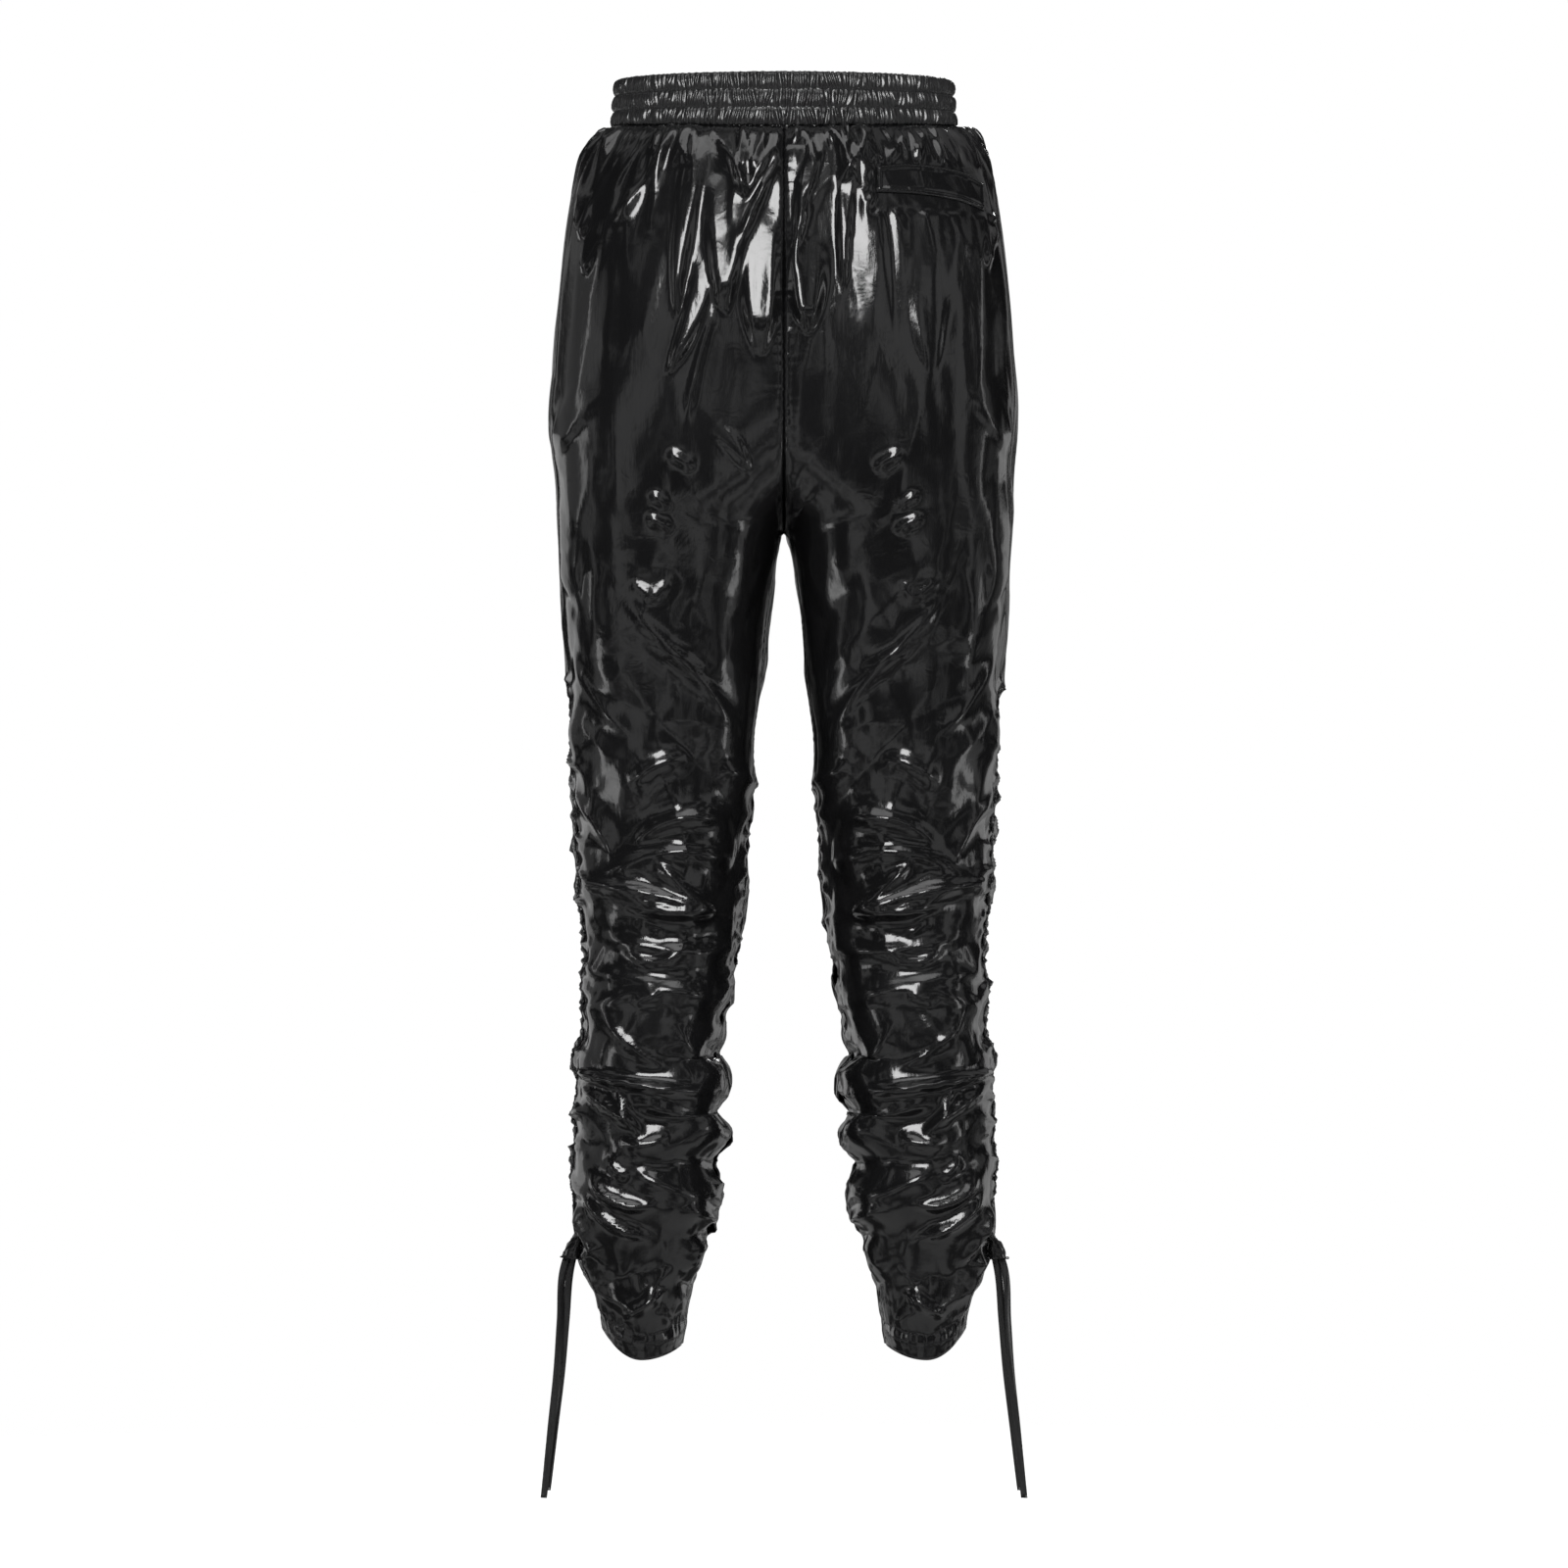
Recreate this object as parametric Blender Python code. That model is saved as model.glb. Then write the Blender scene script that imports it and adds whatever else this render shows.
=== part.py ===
"""Pull-on trousers of thin glossy coated cloth, as worn: a gathered three-channel
waistband, two back and two front panels, one welt pocket on the back, and a gathered
cord channel up the outer seam of each lower leg with two flat ties hanging from it.

+Z is up, the wearer faces -Y and the wearer's left is +X. The origin is the middle of
the waist opening, level with the top of the waistband. Every place on the cloth is
given by its drop, the distance down from the top of the waistband, and by its turn,
the angle round the section there: 0 at the outer side, a quarter turn at the back.
"""

import math
from collections import namedtuple

import bmesh
import bpy
from mathutils import Vector

MM = 0.001

# ---------------------------------------------------------------- driving sizes, mm
WALL = 1.5               # cloth panels
SEAM_GAP = 0.4           # between two pieces that meet at a seam
CENTRE_GAP = 0.3         # each side of the centre plane

BAND_DEPTH = 37.8        # waistband at the side seam
BAND_DIP = 5.0           # and this much more at the centre back and centre front
BAND_WALL = 2.2
BAND_CHANNELS = 3        # elastic channels, one above the other
BAND_BULGE = 1.7         # how far each channel swells out
BAND_RIPPLE = 0.5        # gathers of the elastic
BAND_TOP = (132.3, 96.0, 92.0)       # half width, back depth, front depth
BAND_FOOT = (135.8, 100.0, 95.5)
BAND_SEGMENTS = 72
DIP_FADE = 110.0         # the dip of the band's seam is gone this far below it

CROTCH = 362.4           # drop of the fork
CLEFT_RISE = 125.0       # the seat runs under the body over this height
CLEFT_CURVE = 2.5        # how tightly it turns under
HEM = 1013.0             # drop of the lowest point of the hem
HEM_RISE_OUTER = 25.0    # the hem is drawn up at the outer seam
HEM_RISE_INNER = 10.5    # and a little at the inseam
HEM_RISE_REACH = 110.0   # height over which the rise fades out
SIDE_SEAM_TURN = 0.13    # the side seam lies a little to the back
INSEAM_TURN = 0.20       # and so does the inseam

PANEL_COLUMNS = 9
PLEATS = 4.5             # gathers below the waistband on each panel
PLEAT_HEIGHT = 3.6
PLEAT_TOP, PLEAT_END = 44.0, 190.0

CHANNEL_TOP, CHANNEL_END = 470.0, 941.0
CHANNEL_HALF_WIDTH = 7.5
CHANNEL_THICKNESS = 1.0
CHANNEL_PUFF = 1.3       # gathers of the cord channel
CHANNEL_CLEARANCE = 1.0
FLAP_LENGTH = 32.0       # the loose lower end of the channel
FLAP_REACH = 9.0         # and how far it stands out

TIE_WIDTH = 6.0
TIE_THICKNESS = 0.9

WELT_CLEARANCE = 0.5
WELT_THICKNESS = 1.2
WELT_COLUMNS = 8

# One row for each level of the body and of one leg, all in mm. Outer and inner are the
# distances of the leg's two sides from the centre plane; back and front are how far
# the cloth reaches behind and before the waist's middle.
Level = namedtuple("Level", "drop outer inner back front")
LEVELS = (
    Level(38.2, 139.0, 0, 101, 97),
    Level(45, 148.0, 0, 104, 99),
    Level(54, 156.0, 0, 108, 101),
    Level(83, 166.6, 0, 118, 105),
    Level(116, 172.5, 0, 126, 108),
    Level(156, 177.2, 0, 132, 110),
    Level(203, 180.6, 0, 134, 110),
    Level(264, 185.2, 0, 130, 108),
    Level(285, 183.4, 0, 128, 107),
    Level(317, 179.1, 0, 124, 106),
    Level(341, 179.9, 0, 119, 105),
    Level(362.4, 179.1, 0.3, 114, 104),
    Level(369, 178.6, 5.1, 112, 104),
    Level(385, 177.9, 7.2, 109, 103),
    Level(434, 176.5, 13.8, 101, 101),
    Level(470, 173.0, 16.0, 94, 99),
    Level(486, 170.5, 17.2, 91, 98),
    Level(514, 168.9, 22.0, 86, 95),
    Level(548, 166.4, 22.6, 80, 92),
    Level(584, 163.6, 25.3, 75, 88),
    Level(603, 165.2, 27.5, 74, 87),
    Level(621, 162.6, 28.8, 73, 85),
    Level(653, 161.8, 31.8, 74, 82),
    Level(681, 159.6, 34.6, 77, 80),
    Level(704, 159.4, 39.7, 78, 78),
    Level(723, 159.4, 42.0, 80, 77),
    Level(741, 159.8, 48.3, 81, 76),
    Level(760, 161.2, 48.8, 82, 75),
    Level(777, 165.6, 54.9, 82, 74),
    Level(786, 162.8, 46.0, 84, 74),
    Level(795, 163.0, 42.4, 85, 74),
    Level(808, 164.2, 45.2, 84, 73),
    Level(819, 165.6, 54.5, 81, 72),
    Level(833, 165.0, 44.4, 84, 72),
    Level(843, 163.6, 45.2, 84, 71),
    Level(856, 166.6, 56.0, 80, 70),
    Level(872, 166.0, 51.0, 82, 70),
    Level(883, 165.5, 49.8, 82, 69),
    Level(896, 164.8, 52.2, 79, 68),
    Level(914, 162.3, 61.7, 74, 66),
    Level(943, 158.8, 67.4, 67, 63),
    Level(963, 153.0, 72.4, 62, 60),
    Level(984, 147.5, 77.1, 58, 57),
    Level(1013, 145.0, 79.8, 55, 55),
)

# Drops at which a panel has a row of points.
PANEL_DROPS = (
    38.2, 50, 66, 86, 110, 140, 172, 205, 238, 266, 290, 312, 330, 346, 357, CROTCH,
    369, 387, 425, 470, 505, 540, 572, 600, 630, 660, 690, 716, 741, 760, 777, 795, 819,
    838, 856, 876, 896, 914, 928, 941, 960, 986, HEM,
)

# The largest folds, seen from behind or before. Each runs as a soft ridge from its
# upper end to its lower end; x grows towards the wearer's left.
Fold = namedtuple("Fold", "face x_top top x_foot foot half_width height")
BODY_FOLDS = (
    Fold("back", 70, 86, 93, 210, 15, 7.0),
    Fold("back", 50, 100, 45, 180, 14, 6.5),
    Fold("back", 46, 180, 74, 272, 14, 4.0),
    Fold("back", 8, 118, 32, 225, 16, 7.0),
    Fold("back", 92, 55, 136, 128, 14, 4.5),
    Fold("back", -44, 80, -49, 175, 14, 6.0),
    Fold("back", -12, 140, -30, 240, 15, 5.0),
    Fold("front", 60, 70, 84, 190, 16, 6.0),
    Fold("front", -22, 80, -36, 200, 15, 6.0),
    Fold("front", -88, 60, -124, 160, 16, 5.0),
)

# Folds of the gathered leg, the same on both legs. Each runs from the outer seam to
# the inseam as a soft ridge round the leg.
Ruche = namedtuple("Ruche", "outer_drop inner_drop half_height height")
RUCHES = (
    Ruche(560, 640, 20, 4.5),
    Ruche(622, 668, 15, 5.5),
    Ruche(668, 700, 13, 6.0),
    Ruche(706, 742, 13, 6.0),
    Ruche(768, 790, 12, 7.0),
    Ruche(806, 832, 11, 7.0),
    Ruche(846, 880, 12, 7.0),
    Ruche(872, 930, 12, 6.0),
)

# The welt's top and bottom edges on the right of the back.
WeltEdge = namedtuple("WeltEdge", "x top bottom")
WELT_EDGES = (
    WeltEdge(-72, 75.5, 96.7),
    WeltEdge(-95, 73.0, 97.2),
    WeltEdge(-120, 74.5, 99.0),
    WeltEdge(-140, 78.0, 102.5),
    WeltEdge(-157, 86.0, 108.5),
)
WELT_MARGIN = 24.0       # the cloth round the welt lies flat

# Where the middle of each tie hangs, from the channel's mouth to its cut end.
TiePoint = namedtuple("TiePoint", "drop x y")
OUTER_TIE = (
    TiePoint(941.6, 174.5, 14.0),
    TiePoint(984, 177.6, 15.0),
    TiePoint(1026, 180.2, 15.5),
    TiePoint(1072, 184.9, 15.0),
    TiePoint(1124.8, 190.5, 14.0),
)
INNER_TIE = (
    TiePoint(941.6, 169.0, 11.5),
    TiePoint(984, 173.0, 11.0),
    TiePoint(1026, 176.4, 11.0),
    TiePoint(1072, 182.0, 11.0),
    TiePoint(1119, 188.0, 10.5),
)
TIE_STEPS = 14


# ------------------------------------------------------------------- smooth tables
def ramp(value, low, high):
    """0 below low, 1 above high, and a smooth step between them."""
    t = min(1.0, max(0.0, (value - low) / (high - low)))
    return t * t * (3 - 2 * t)


def smooth(rows, key, column, at):
    """The column's value where the key column is at, on a curve through the rows."""
    keys = [getattr(r, key) for r in rows]
    rising = keys[-1] > keys[0]
    i = 0
    while i < len(rows) - 2 and (at > keys[i + 1] if rising else at < keys[i + 1]):
        i += 1

    def slope(j):
        a, b = max(0, j - 1), min(len(rows) - 1, j + 1)
        return (getattr(rows[b], column) - getattr(rows[a], column)) / (keys[b] - keys[a])

    span = keys[i + 1] - keys[i]
    t = min(1.0, max(0.0, (at - keys[i]) / span))
    p, q = getattr(rows[i], column), getattr(rows[i + 1], column)
    return (
        p * (1 + 2 * t) * (1 - t) ** 2
        + slope(i) * span * t * (1 - t) ** 2
        + q * t * t * (3 - 2 * t)
        - slope(i + 1) * span * t * t * (1 - t)
    )


# ----------------------------------------------------------------------- the shell
def section(drop):
    """Middle, half width, and back and front depths of one side's section, and the
    turn at which it meets the centre seam or, on a leg, the inseam."""
    outer, inner, back, front = (
        smooth(LEVELS, "drop", c, drop) for c in ("outer", "inner", "back", "front")
    )
    if drop < CROTCH:
        above = min(1.0, (CROTCH - drop) / CLEFT_RISE)
        closed = (1 - above) ** (CLEFT_CURVE / 2)
        half = (outer - CENTRE_GAP) / (1 + closed)
        inner_turn = math.acos(-closed)
    else:
        inner = max(inner, CENTRE_GAP)
        half = (outer - inner) / 2
        inner_turn = math.pi
    centre_y = (back - front) / 2
    return outer - half, half, centre_y, back - centre_y, front + centre_y, inner_turn


def shell_point(drop, turn):
    """A point of the left side's outer surface, in mm."""
    centre_x, half, centre_y, back, front, _ = section(drop)
    depth = back if math.sin(turn) > 0 else front
    sway = math.sin(turn) ** 2
    dip = BAND_DIP * sway * (1 - ramp(drop, BAND_DEPTH, BAND_DEPTH + DIP_FADE))
    rise = HEM_RISE_OUTER if math.cos(turn) > 0 else HEM_RISE_INNER
    rise *= (1 - sway) * ramp(drop, HEM - HEM_RISE_REACH, HEM)
    return Vector((
        centre_x + half * math.cos(turn),
        centre_y + depth * math.sin(turn),
        rise - drop - dip,
    ))


def shell_normal(drop, turn):
    """The outward direction there, from the surface's own slopes."""
    low, high = drop - 1.0, drop + 1.0
    if drop <= CROTCH < high:
        high = drop
    elif low < CROTCH < drop:
        low = CROTCH
    down = shell_point(high, turn) - shell_point(low, turn)
    round_it = shell_point(drop, turn + 0.01) - shell_point(drop, turn - 0.01)
    return down.cross(round_it).normalized()


def turns(drop, face):
    """Evenly spaced turns from the centre seam or inseam to the side seam."""
    inner = section(drop)[5]
    side = SIDE_SEAM_TURN
    lean = INSEAM_TURN * ramp(drop, CROTCH, CROTCH + 90)
    start = inner - lean if face == "back" else -inner - lean
    steps = 96
    fine = [start + (side - start) * i / steps for i in range(steps + 1)]
    points = [shell_point(drop, t) for t in fine]
    lengths = [0.0]
    for a, b in zip(points, points[1:]):
        lengths.append(lengths[-1] + (b - a).length)
    first = SEAM_GAP / 2 if drop >= CROTCH else 0.0
    last = lengths[-1] - SEAM_GAP / 2
    found, i = [], 0
    for column in range(PANEL_COLUMNS + 1):
        want = first + (last - first) * column / PANEL_COLUMNS
        while i < steps - 1 and lengths[i + 1] < want:
            i += 1
        part = (want - lengths[i]) / (lengths[i + 1] - lengths[i])
        found.append(fine[i] + (fine[i + 1] - fine[i]) * part)
    return found


def ridge(x, drop, fold):
    """Height of one body fold at a place seen from behind or before."""
    along_x, along = fold.x_foot - fold.x_top, fold.foot - fold.top
    length = math.hypot(along_x, along)
    place = ((x - fold.x_top) * along_x + (drop - fold.top) * along) / length ** 2
    aside = ((x - fold.x_top) * along - (drop - fold.top) * along_x) / length
    ends = ramp(place, -0.15, 0.25) * (1 - ramp(place, 0.7, 1.15))
    return fold.height * ends * math.exp(-((aside / fold.half_width) ** 2))


def fold_height(side, face, x, drop, across):
    """How far the cloth stands out there; across is 0 at the inner seam and 1 at the
    side seam, where the folds die out."""
    inside = math.sin(math.pi * across)
    height = 0.0
    if drop < CROTCH:
        gather = ramp(drop, PLEAT_TOP, PLEAT_TOP + 30) * (1 - ramp(drop, 90, PLEAT_END))
        height += PLEAT_HEIGHT * gather * inside * math.cos(math.tau * PLEATS * across)
        for fold in BODY_FOLDS:
            if fold.face == face:
                height += inside * ridge(x, drop, fold)
        if side < 0 and face == "back":
            near = max(
                WELT_EDGES[-1].x - x, x - WELT_EDGES[0].x,
                WELT_EDGES[0].top - drop, drop - WELT_EDGES[-1].bottom,
            )
            height *= ramp(near, 2.0, WELT_MARGIN)
    for ruche in RUCHES:
        middle = ruche.inner_drop + (ruche.outer_drop - ruche.inner_drop) * across
        height += ruche.height * inside * math.exp(-(((drop - middle) / ruche.half_height) ** 2))
    return height


def panel_grid(side, face):
    """Rows of (outer point, normal) of one panel, from the top down and from the
    inner seam to the side seam."""
    grid = []
    for drop in PANEL_DROPS:
        row = []
        for column, turn in enumerate(turns(drop, face)):
            point, normal = shell_point(drop, turn), shell_normal(drop, turn)
            height = fold_height(
                side, face, side * point.x, -point.z, column / PANEL_COLUMNS)
            point += normal * height
            row.append((mirrored(point, side), mirrored(normal, side)))
        grid.append(row)
    return grid


def mirrored(vector, side):
    return Vector((side * vector.x, vector.y, vector.z))


# ---------------------------------------------------------------------- making solids
def material(name, colour, roughness):
    made = bpy.data.materials.new(name)
    made.use_nodes = True
    shader = made.node_tree.nodes["Principled BSDF"]
    shader.inputs["Base Color"].default_value = (*colour, 1.0)
    shader.inputs["Roughness"].default_value = roughness
    shader.inputs["Metallic"].default_value = 0.0
    return made


def add_object(name, mesh_builder, colour=(0.012, 0.012, 0.013), roughness=0.18):
    mesh = bpy.data.meshes.new(name)
    mesh_builder.to_mesh(mesh)
    mesh_builder.free()
    mesh.shade_smooth()
    mesh.set_sharp_from_angle(angle=math.radians(50))
    mesh.materials.append(material(name + "_cloth", colour, roughness))
    made = bpy.data.objects.new(name, mesh)
    bpy.context.scene.collection.objects.link(made)
    return made


def slab(outer, inner, closed=False):
    """One closed body between two grids of points in mm, outer and inner. Rows run
    down and columns run round; a closed slab joins its last column to its first."""
    bm = bmesh.new()
    top = [[bm.verts.new(p * MM) for p in row] for row in outer]
    under = [[bm.verts.new(p * MM) for p in row] for row in inner]
    rows, columns = len(outer), len(outer[0])
    for i in range(rows - 1):
        for j in range(columns if closed else columns - 1):
            k = (j + 1) % columns
            bm.faces.new((top[i][j], top[i + 1][j], top[i + 1][k], top[i][k]))
            bm.faces.new((under[i][j], under[i][k], under[i + 1][k], under[i + 1][j]))
    for j in range(columns if closed else columns - 1):
        k = (j + 1) % columns
        bm.faces.new((top[0][j], top[0][k], under[0][k], under[0][j]))
        bm.faces.new((top[-1][k], top[-1][j], under[-1][j], under[-1][k]))
    if not closed:
        for i in range(rows - 1):
            bm.faces.new((top[i + 1][0], top[i][0], under[i][0], under[i + 1][0]))
            bm.faces.new((top[i][-1], top[i + 1][-1], under[i + 1][-1], under[i][-1]))
    bmesh.ops.recalc_face_normals(bm, faces=bm.faces)
    return bm


# ----------------------------------------------------------------------- the pieces
def build_panel(name, side, face):
    grid = panel_grid(side, face)
    outer = [[point for point, _ in row] for row in grid]
    inner = [[point - normal * WALL for point, normal in row] for row in grid]
    return add_object(name, slab(outer, inner))


def band_point(share, round_it, out):
    """A point of the waistband: share is 0 at its top and 1 at its foot."""
    half, back, front = (
        top + (foot - top) * share for top, foot in zip(BAND_TOP, BAND_FOOT))
    centre_y = (back - front) / 2
    depth = (back if math.sin(round_it) > 0 else front) - centre_y * (
        1 if math.sin(round_it) > 0 else -1)
    dip = BAND_DIP * math.sin(round_it) ** 2 * share
    return Vector((
        (half + out) * math.cos(round_it),
        centre_y + (depth + out) * math.sin(round_it),
        -share * BAND_DEPTH - dip,
    ))


def build_waistband():
    """A ring whose outer side swells between its stitched lines, one swelling for
    each elastic channel, and ripples with the gathers."""
    steps_each = 2
    steps = BAND_CHANNELS * steps_each
    outer, inner = [], []
    for i in range(steps + 1):
        share = i / steps
        bulge = BAND_BULGE * abs(math.sin(math.pi * BAND_CHANNELS * share)) ** 0.7
        outer_row, inner_row = [], []
        for j in range(BAND_SEGMENTS):
            round_it = math.tau * j / BAND_SEGMENTS
            ripple = BAND_RIPPLE * (1 if j % 2 else -1) * (bulge / BAND_BULGE)
            outer_row.append(band_point(share, round_it, bulge + ripple))
            inner_row.append(band_point(share, round_it, -BAND_WALL))
        outer.append(outer_row)
        inner.append(inner_row)
    return add_object("waistband", slab(outer, inner, closed=True))


def build_channel(name, side):
    """The gathered tunnel over the side seam, built on the two panels' own points."""
    back, front = panel_grid(side, "back"), panel_grid(side, "front")
    outer, under = [], []
    rows = [i for i, d in enumerate(PANEL_DROPS) if CHANNEL_TOP <= d <= CHANNEL_END]
    for count, i in enumerate(rows):
        drop = PANEL_DROPS[i]
        seam, out = front[i][-1]
        flap = ramp(drop, CHANNEL_END - FLAP_LENGTH, CHANNEL_END)
        puff = CHANNEL_PUFF * (count % 2) * (1 - flap)
        spread = CHANNEL_HALF_WIDTH * (1 + 0.25 * flap)
        outer_row, under_row = [], []
        for towards in (-1.0, -0.45, 0.45, 1.0):
            panel = front if towards < 0 else back
            start, end = panel[i][-1][0], panel[i][-2][0]
            reach = abs(towards) * spread / (end - start).length
            base = start + (end - start) * reach
            lift = CHANNEL_CLEARANCE + FLAP_REACH * flap * (1 - 0.35 * abs(towards))
            swell = CHANNEL_THICKNESS + (1.2 + puff if abs(towards) < 0.9 else 0.0)
            under_row.append(base + out * lift)
            outer_row.append(base + out * (lift + swell))
        outer.append(outer_row)
        under.append(under_row)
    return add_object(name, slab(outer, under))


def build_welt():
    """The pocket's welt: a strip made from the back's own points, moved out."""
    outer, under = [], []
    shares = (0.0, 0.5, 1.0)
    for share in shares:
        outer_row, under_row = [], []
        for j in range(WELT_COLUMNS + 1):
            x = WELT_EDGES[0].x + (WELT_EDGES[-1].x - WELT_EDGES[0].x) * j / WELT_COLUMNS
            top = smooth(WELT_EDGES, "x", "top", x)
            drop = top + (smooth(WELT_EDGES, "x", "bottom", x) - top) * share
            centre_x, half = section(drop)[:2]
            turn = math.acos(max(-1.0, min(1.0, (-x - centre_x) / half)))
            point, out = shell_point(drop, turn), shell_normal(drop, turn)
            point, out = mirrored(point, -1), mirrored(out, -1)
            thickness = WELT_THICKNESS * (1.0 if share == 0.5 else 0.75)
            under_row.append(point + out * WELT_CLEARANCE)
            outer_row.append(point + out * (WELT_CLEARANCE + thickness))
        outer.append(outer_row)
        under.append(under_row)
    return add_object("back_welt", slab(outer, under))


def build_tie(name, side, route):
    """A flat tie: a strip of the cloth, sewn flat, that hangs from the channel."""
    first, last = route[0].drop, route[-1].drop
    outer, under = [], []
    for i in range(TIE_STEPS + 1):
        drop = first + (last - first) * i / TIE_STEPS
        middle = Vector((
            side * smooth(route, "drop", "x", drop),
            smooth(route, "drop", "y", drop),
            -drop,
        ))
        across = Vector((side * TIE_WIDTH / 2, 0, 0))
        through = Vector((0, TIE_THICKNESS / 2, 0))
        outer.append([middle - across + through, middle + across + through])
        under.append([middle - across - through, middle + across - through])
    return add_object(name, slab(outer, under), roughness=0.22)


def main():
    for old in list(bpy.data.objects):
        bpy.data.objects.remove(old)
    build_waistband()
    for side_name, side in (("left", 1), ("right", -1)):
        build_panel("back_" + side_name, side, "back")
        build_panel("front_" + side_name, side, "front")
        build_channel("ruche_channel_" + side_name, side)
        build_tie("tie_" + side_name + "_outer", side, OUTER_TIE)
        build_tie("tie_" + side_name + "_inner", side, INNER_TIE)
    build_welt()


main()
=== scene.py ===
# %% [markdown]
# # Glossy pull-on trousers with gathered lower legs
#
# This lesson dresses a imported CAD model of a pair of trousers. The cloth is a thin
# coated weave that shines like wet paint, so almost all that the eye sees of it is
# its folds. The lesson therefore spends most of its lines on shape: the level table
# of the body and the legs, the placed folds, and the facets and gathers of
# crumpled cloth between them.

# %% Load the imported model
import math
from collections import namedtuple

import bpy
import numpy as np
from mathutils import Matrix, Vector
from mathutils.geometry import delaunay_2d_cdt


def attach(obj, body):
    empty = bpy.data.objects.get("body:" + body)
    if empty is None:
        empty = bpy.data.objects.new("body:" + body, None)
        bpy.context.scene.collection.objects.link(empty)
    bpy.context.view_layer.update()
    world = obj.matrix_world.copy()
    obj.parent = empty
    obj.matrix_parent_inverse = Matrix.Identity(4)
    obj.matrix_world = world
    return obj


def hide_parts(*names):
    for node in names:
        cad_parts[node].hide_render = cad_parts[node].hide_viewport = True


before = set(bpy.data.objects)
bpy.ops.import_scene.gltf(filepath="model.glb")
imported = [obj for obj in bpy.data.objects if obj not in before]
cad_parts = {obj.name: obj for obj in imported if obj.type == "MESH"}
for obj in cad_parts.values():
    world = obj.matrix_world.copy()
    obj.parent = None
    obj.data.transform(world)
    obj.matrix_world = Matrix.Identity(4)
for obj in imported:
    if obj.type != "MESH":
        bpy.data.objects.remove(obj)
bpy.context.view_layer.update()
MM = 0.001
SIDES = ((1, "left"), (-1, "right"))
SEEDS = {"legs": 3, "waist": 8, "width": 5, "slant": 9, "seams": 20, "hem": 31, "lean": 50, "band": 60,
         "welt": 77, "top edge": 83, "big": 91, "small": 92, "facets": 200, "gathers": 300,
         "beside seams": 330}
print("nodes:", ", ".join(sorted(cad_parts)))


# %% Small helpers that every piece uses
def ramp(value, low, high):
    """0 below low, 1 above high, and a smooth step between them."""
    t = np.clip((value - low) / (high - low), 0.0, 1.0)
    return t * t * (3 - 2 * t)


def bell(value, width):
    return np.exp(-((value / width) ** 2))


def unit(vectors):
    return vectors / np.maximum(np.linalg.norm(vectors, axis=-1, keepdims=True), 1e-12)


def hermite(keys, values, at):
    """A smooth curve through the values, read at many places at once."""
    keys, values, at = (np.asarray(a, float) for a in (keys, values, at))
    slopes = np.gradient(values, keys)
    i = np.clip(np.searchsorted(keys, at, side="right") - 1, 0, len(keys) - 2)
    span = keys[i + 1] - keys[i]
    t = np.clip((at - keys[i]) / span, 0.0, 1.0)
    return (
        values[i] * (1 + 2 * t) * (1 - t) ** 2
        + slopes[i] * span * t * (1 - t) ** 2
        + values[i + 1] * t * t * (3 - 2 * t)
        - slopes[i + 1] * span * t * t * (1 - t)
    )


def table(kind, *rows):
    """A list of named tuples, one for each row."""
    return [kind(*row) for row in rows]


def lengths_of(path):
    """How far along a path each of its points is."""
    return np.concatenate([[0], np.cumsum(np.linalg.norm(np.diff(path, axis=0), axis=1))])


def lengths_along(grid):
    """How far along its row every point of a grid is."""
    steps = np.linalg.norm(np.diff(grid, axis=1), axis=2)
    return np.concatenate([np.zeros((len(grid), 1)), np.cumsum(steps, axis=1)], axis=1)


def read_path(at, along, path):
    """Points of a path at those lengths along it."""
    return np.stack([np.interp(at, along, path[:, k]) for k in range(3)], axis=-1)


def heights_above_hem(grid):
    """How far above the last row every point is, along its column."""
    steps = np.linalg.norm(np.diff(grid, axis=0), axis=2)
    return np.concatenate([steps[::-1].cumsum(axis=0)[::-1], np.zeros((1, grid.shape[1]))])


def grid_faces(rows, columns, closed=False, flip=False, start=0):
    """Quads over a grid of points; a closed grid joins its last column to its first."""
    faces = []
    for i in range(rows - 1):
        for j in range(columns if closed else columns - 1):
            k = (j + 1) % columns
            a, b = start + i * columns, start + (i + 1) * columns
            quad = (a + j, a + k, b + k, b + j)
            faces.append(quad[::-1] if flip else quad)
    return faces


def shell_mesh(name, outer, wall, closed=False, flip=False):
    """A thin closed shell: the outer grid in mm, the same grid moved inwards by the
    wall, and strips that close its edges."""
    rows, columns = outer.shape[:2]
    normals = grid_normals(outer, closed) * (-1 if flip else 1)
    inner = outer - normals * wall
    count = rows * columns
    faces = grid_faces(rows, columns, closed, flip)
    faces += grid_faces(rows, columns, closed, not flip, start=count)
    rims = [[(0, j) for j in range(columns)], [(rows - 1, j) for j in range(columns)][::-1]]
    if not closed:
        rims += [[(i, 0) for i in range(rows)][::-1], [(i, columns - 1) for i in range(rows)]]
    for number, rim in enumerate(rims):
        loop = rim + rim[:1] if closed else rim
        for (i, j), (m, n) in zip(loop, loop[1:]):
            a, b = i * columns + j, m * columns + n
            quad = (b, a, a + count, b + count)
            faces.append(quad[::-1] if flip else quad)
    return add_mesh(name, np.concatenate([outer.reshape(-1, 3), inner.reshape(-1, 3)]), faces)


def grid_normals(grid, closed=False):
    """Outward directions of a grid whose rows run down and whose columns run from the
    back's middle round the wearer's left side to the front."""
    down = np.gradient(grid, axis=0)
    if closed:
        across = np.roll(grid, -1, axis=1) - np.roll(grid, 1, axis=1)
    else:
        across = np.gradient(grid, axis=1)
    return unit(np.cross(across, down))


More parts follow.
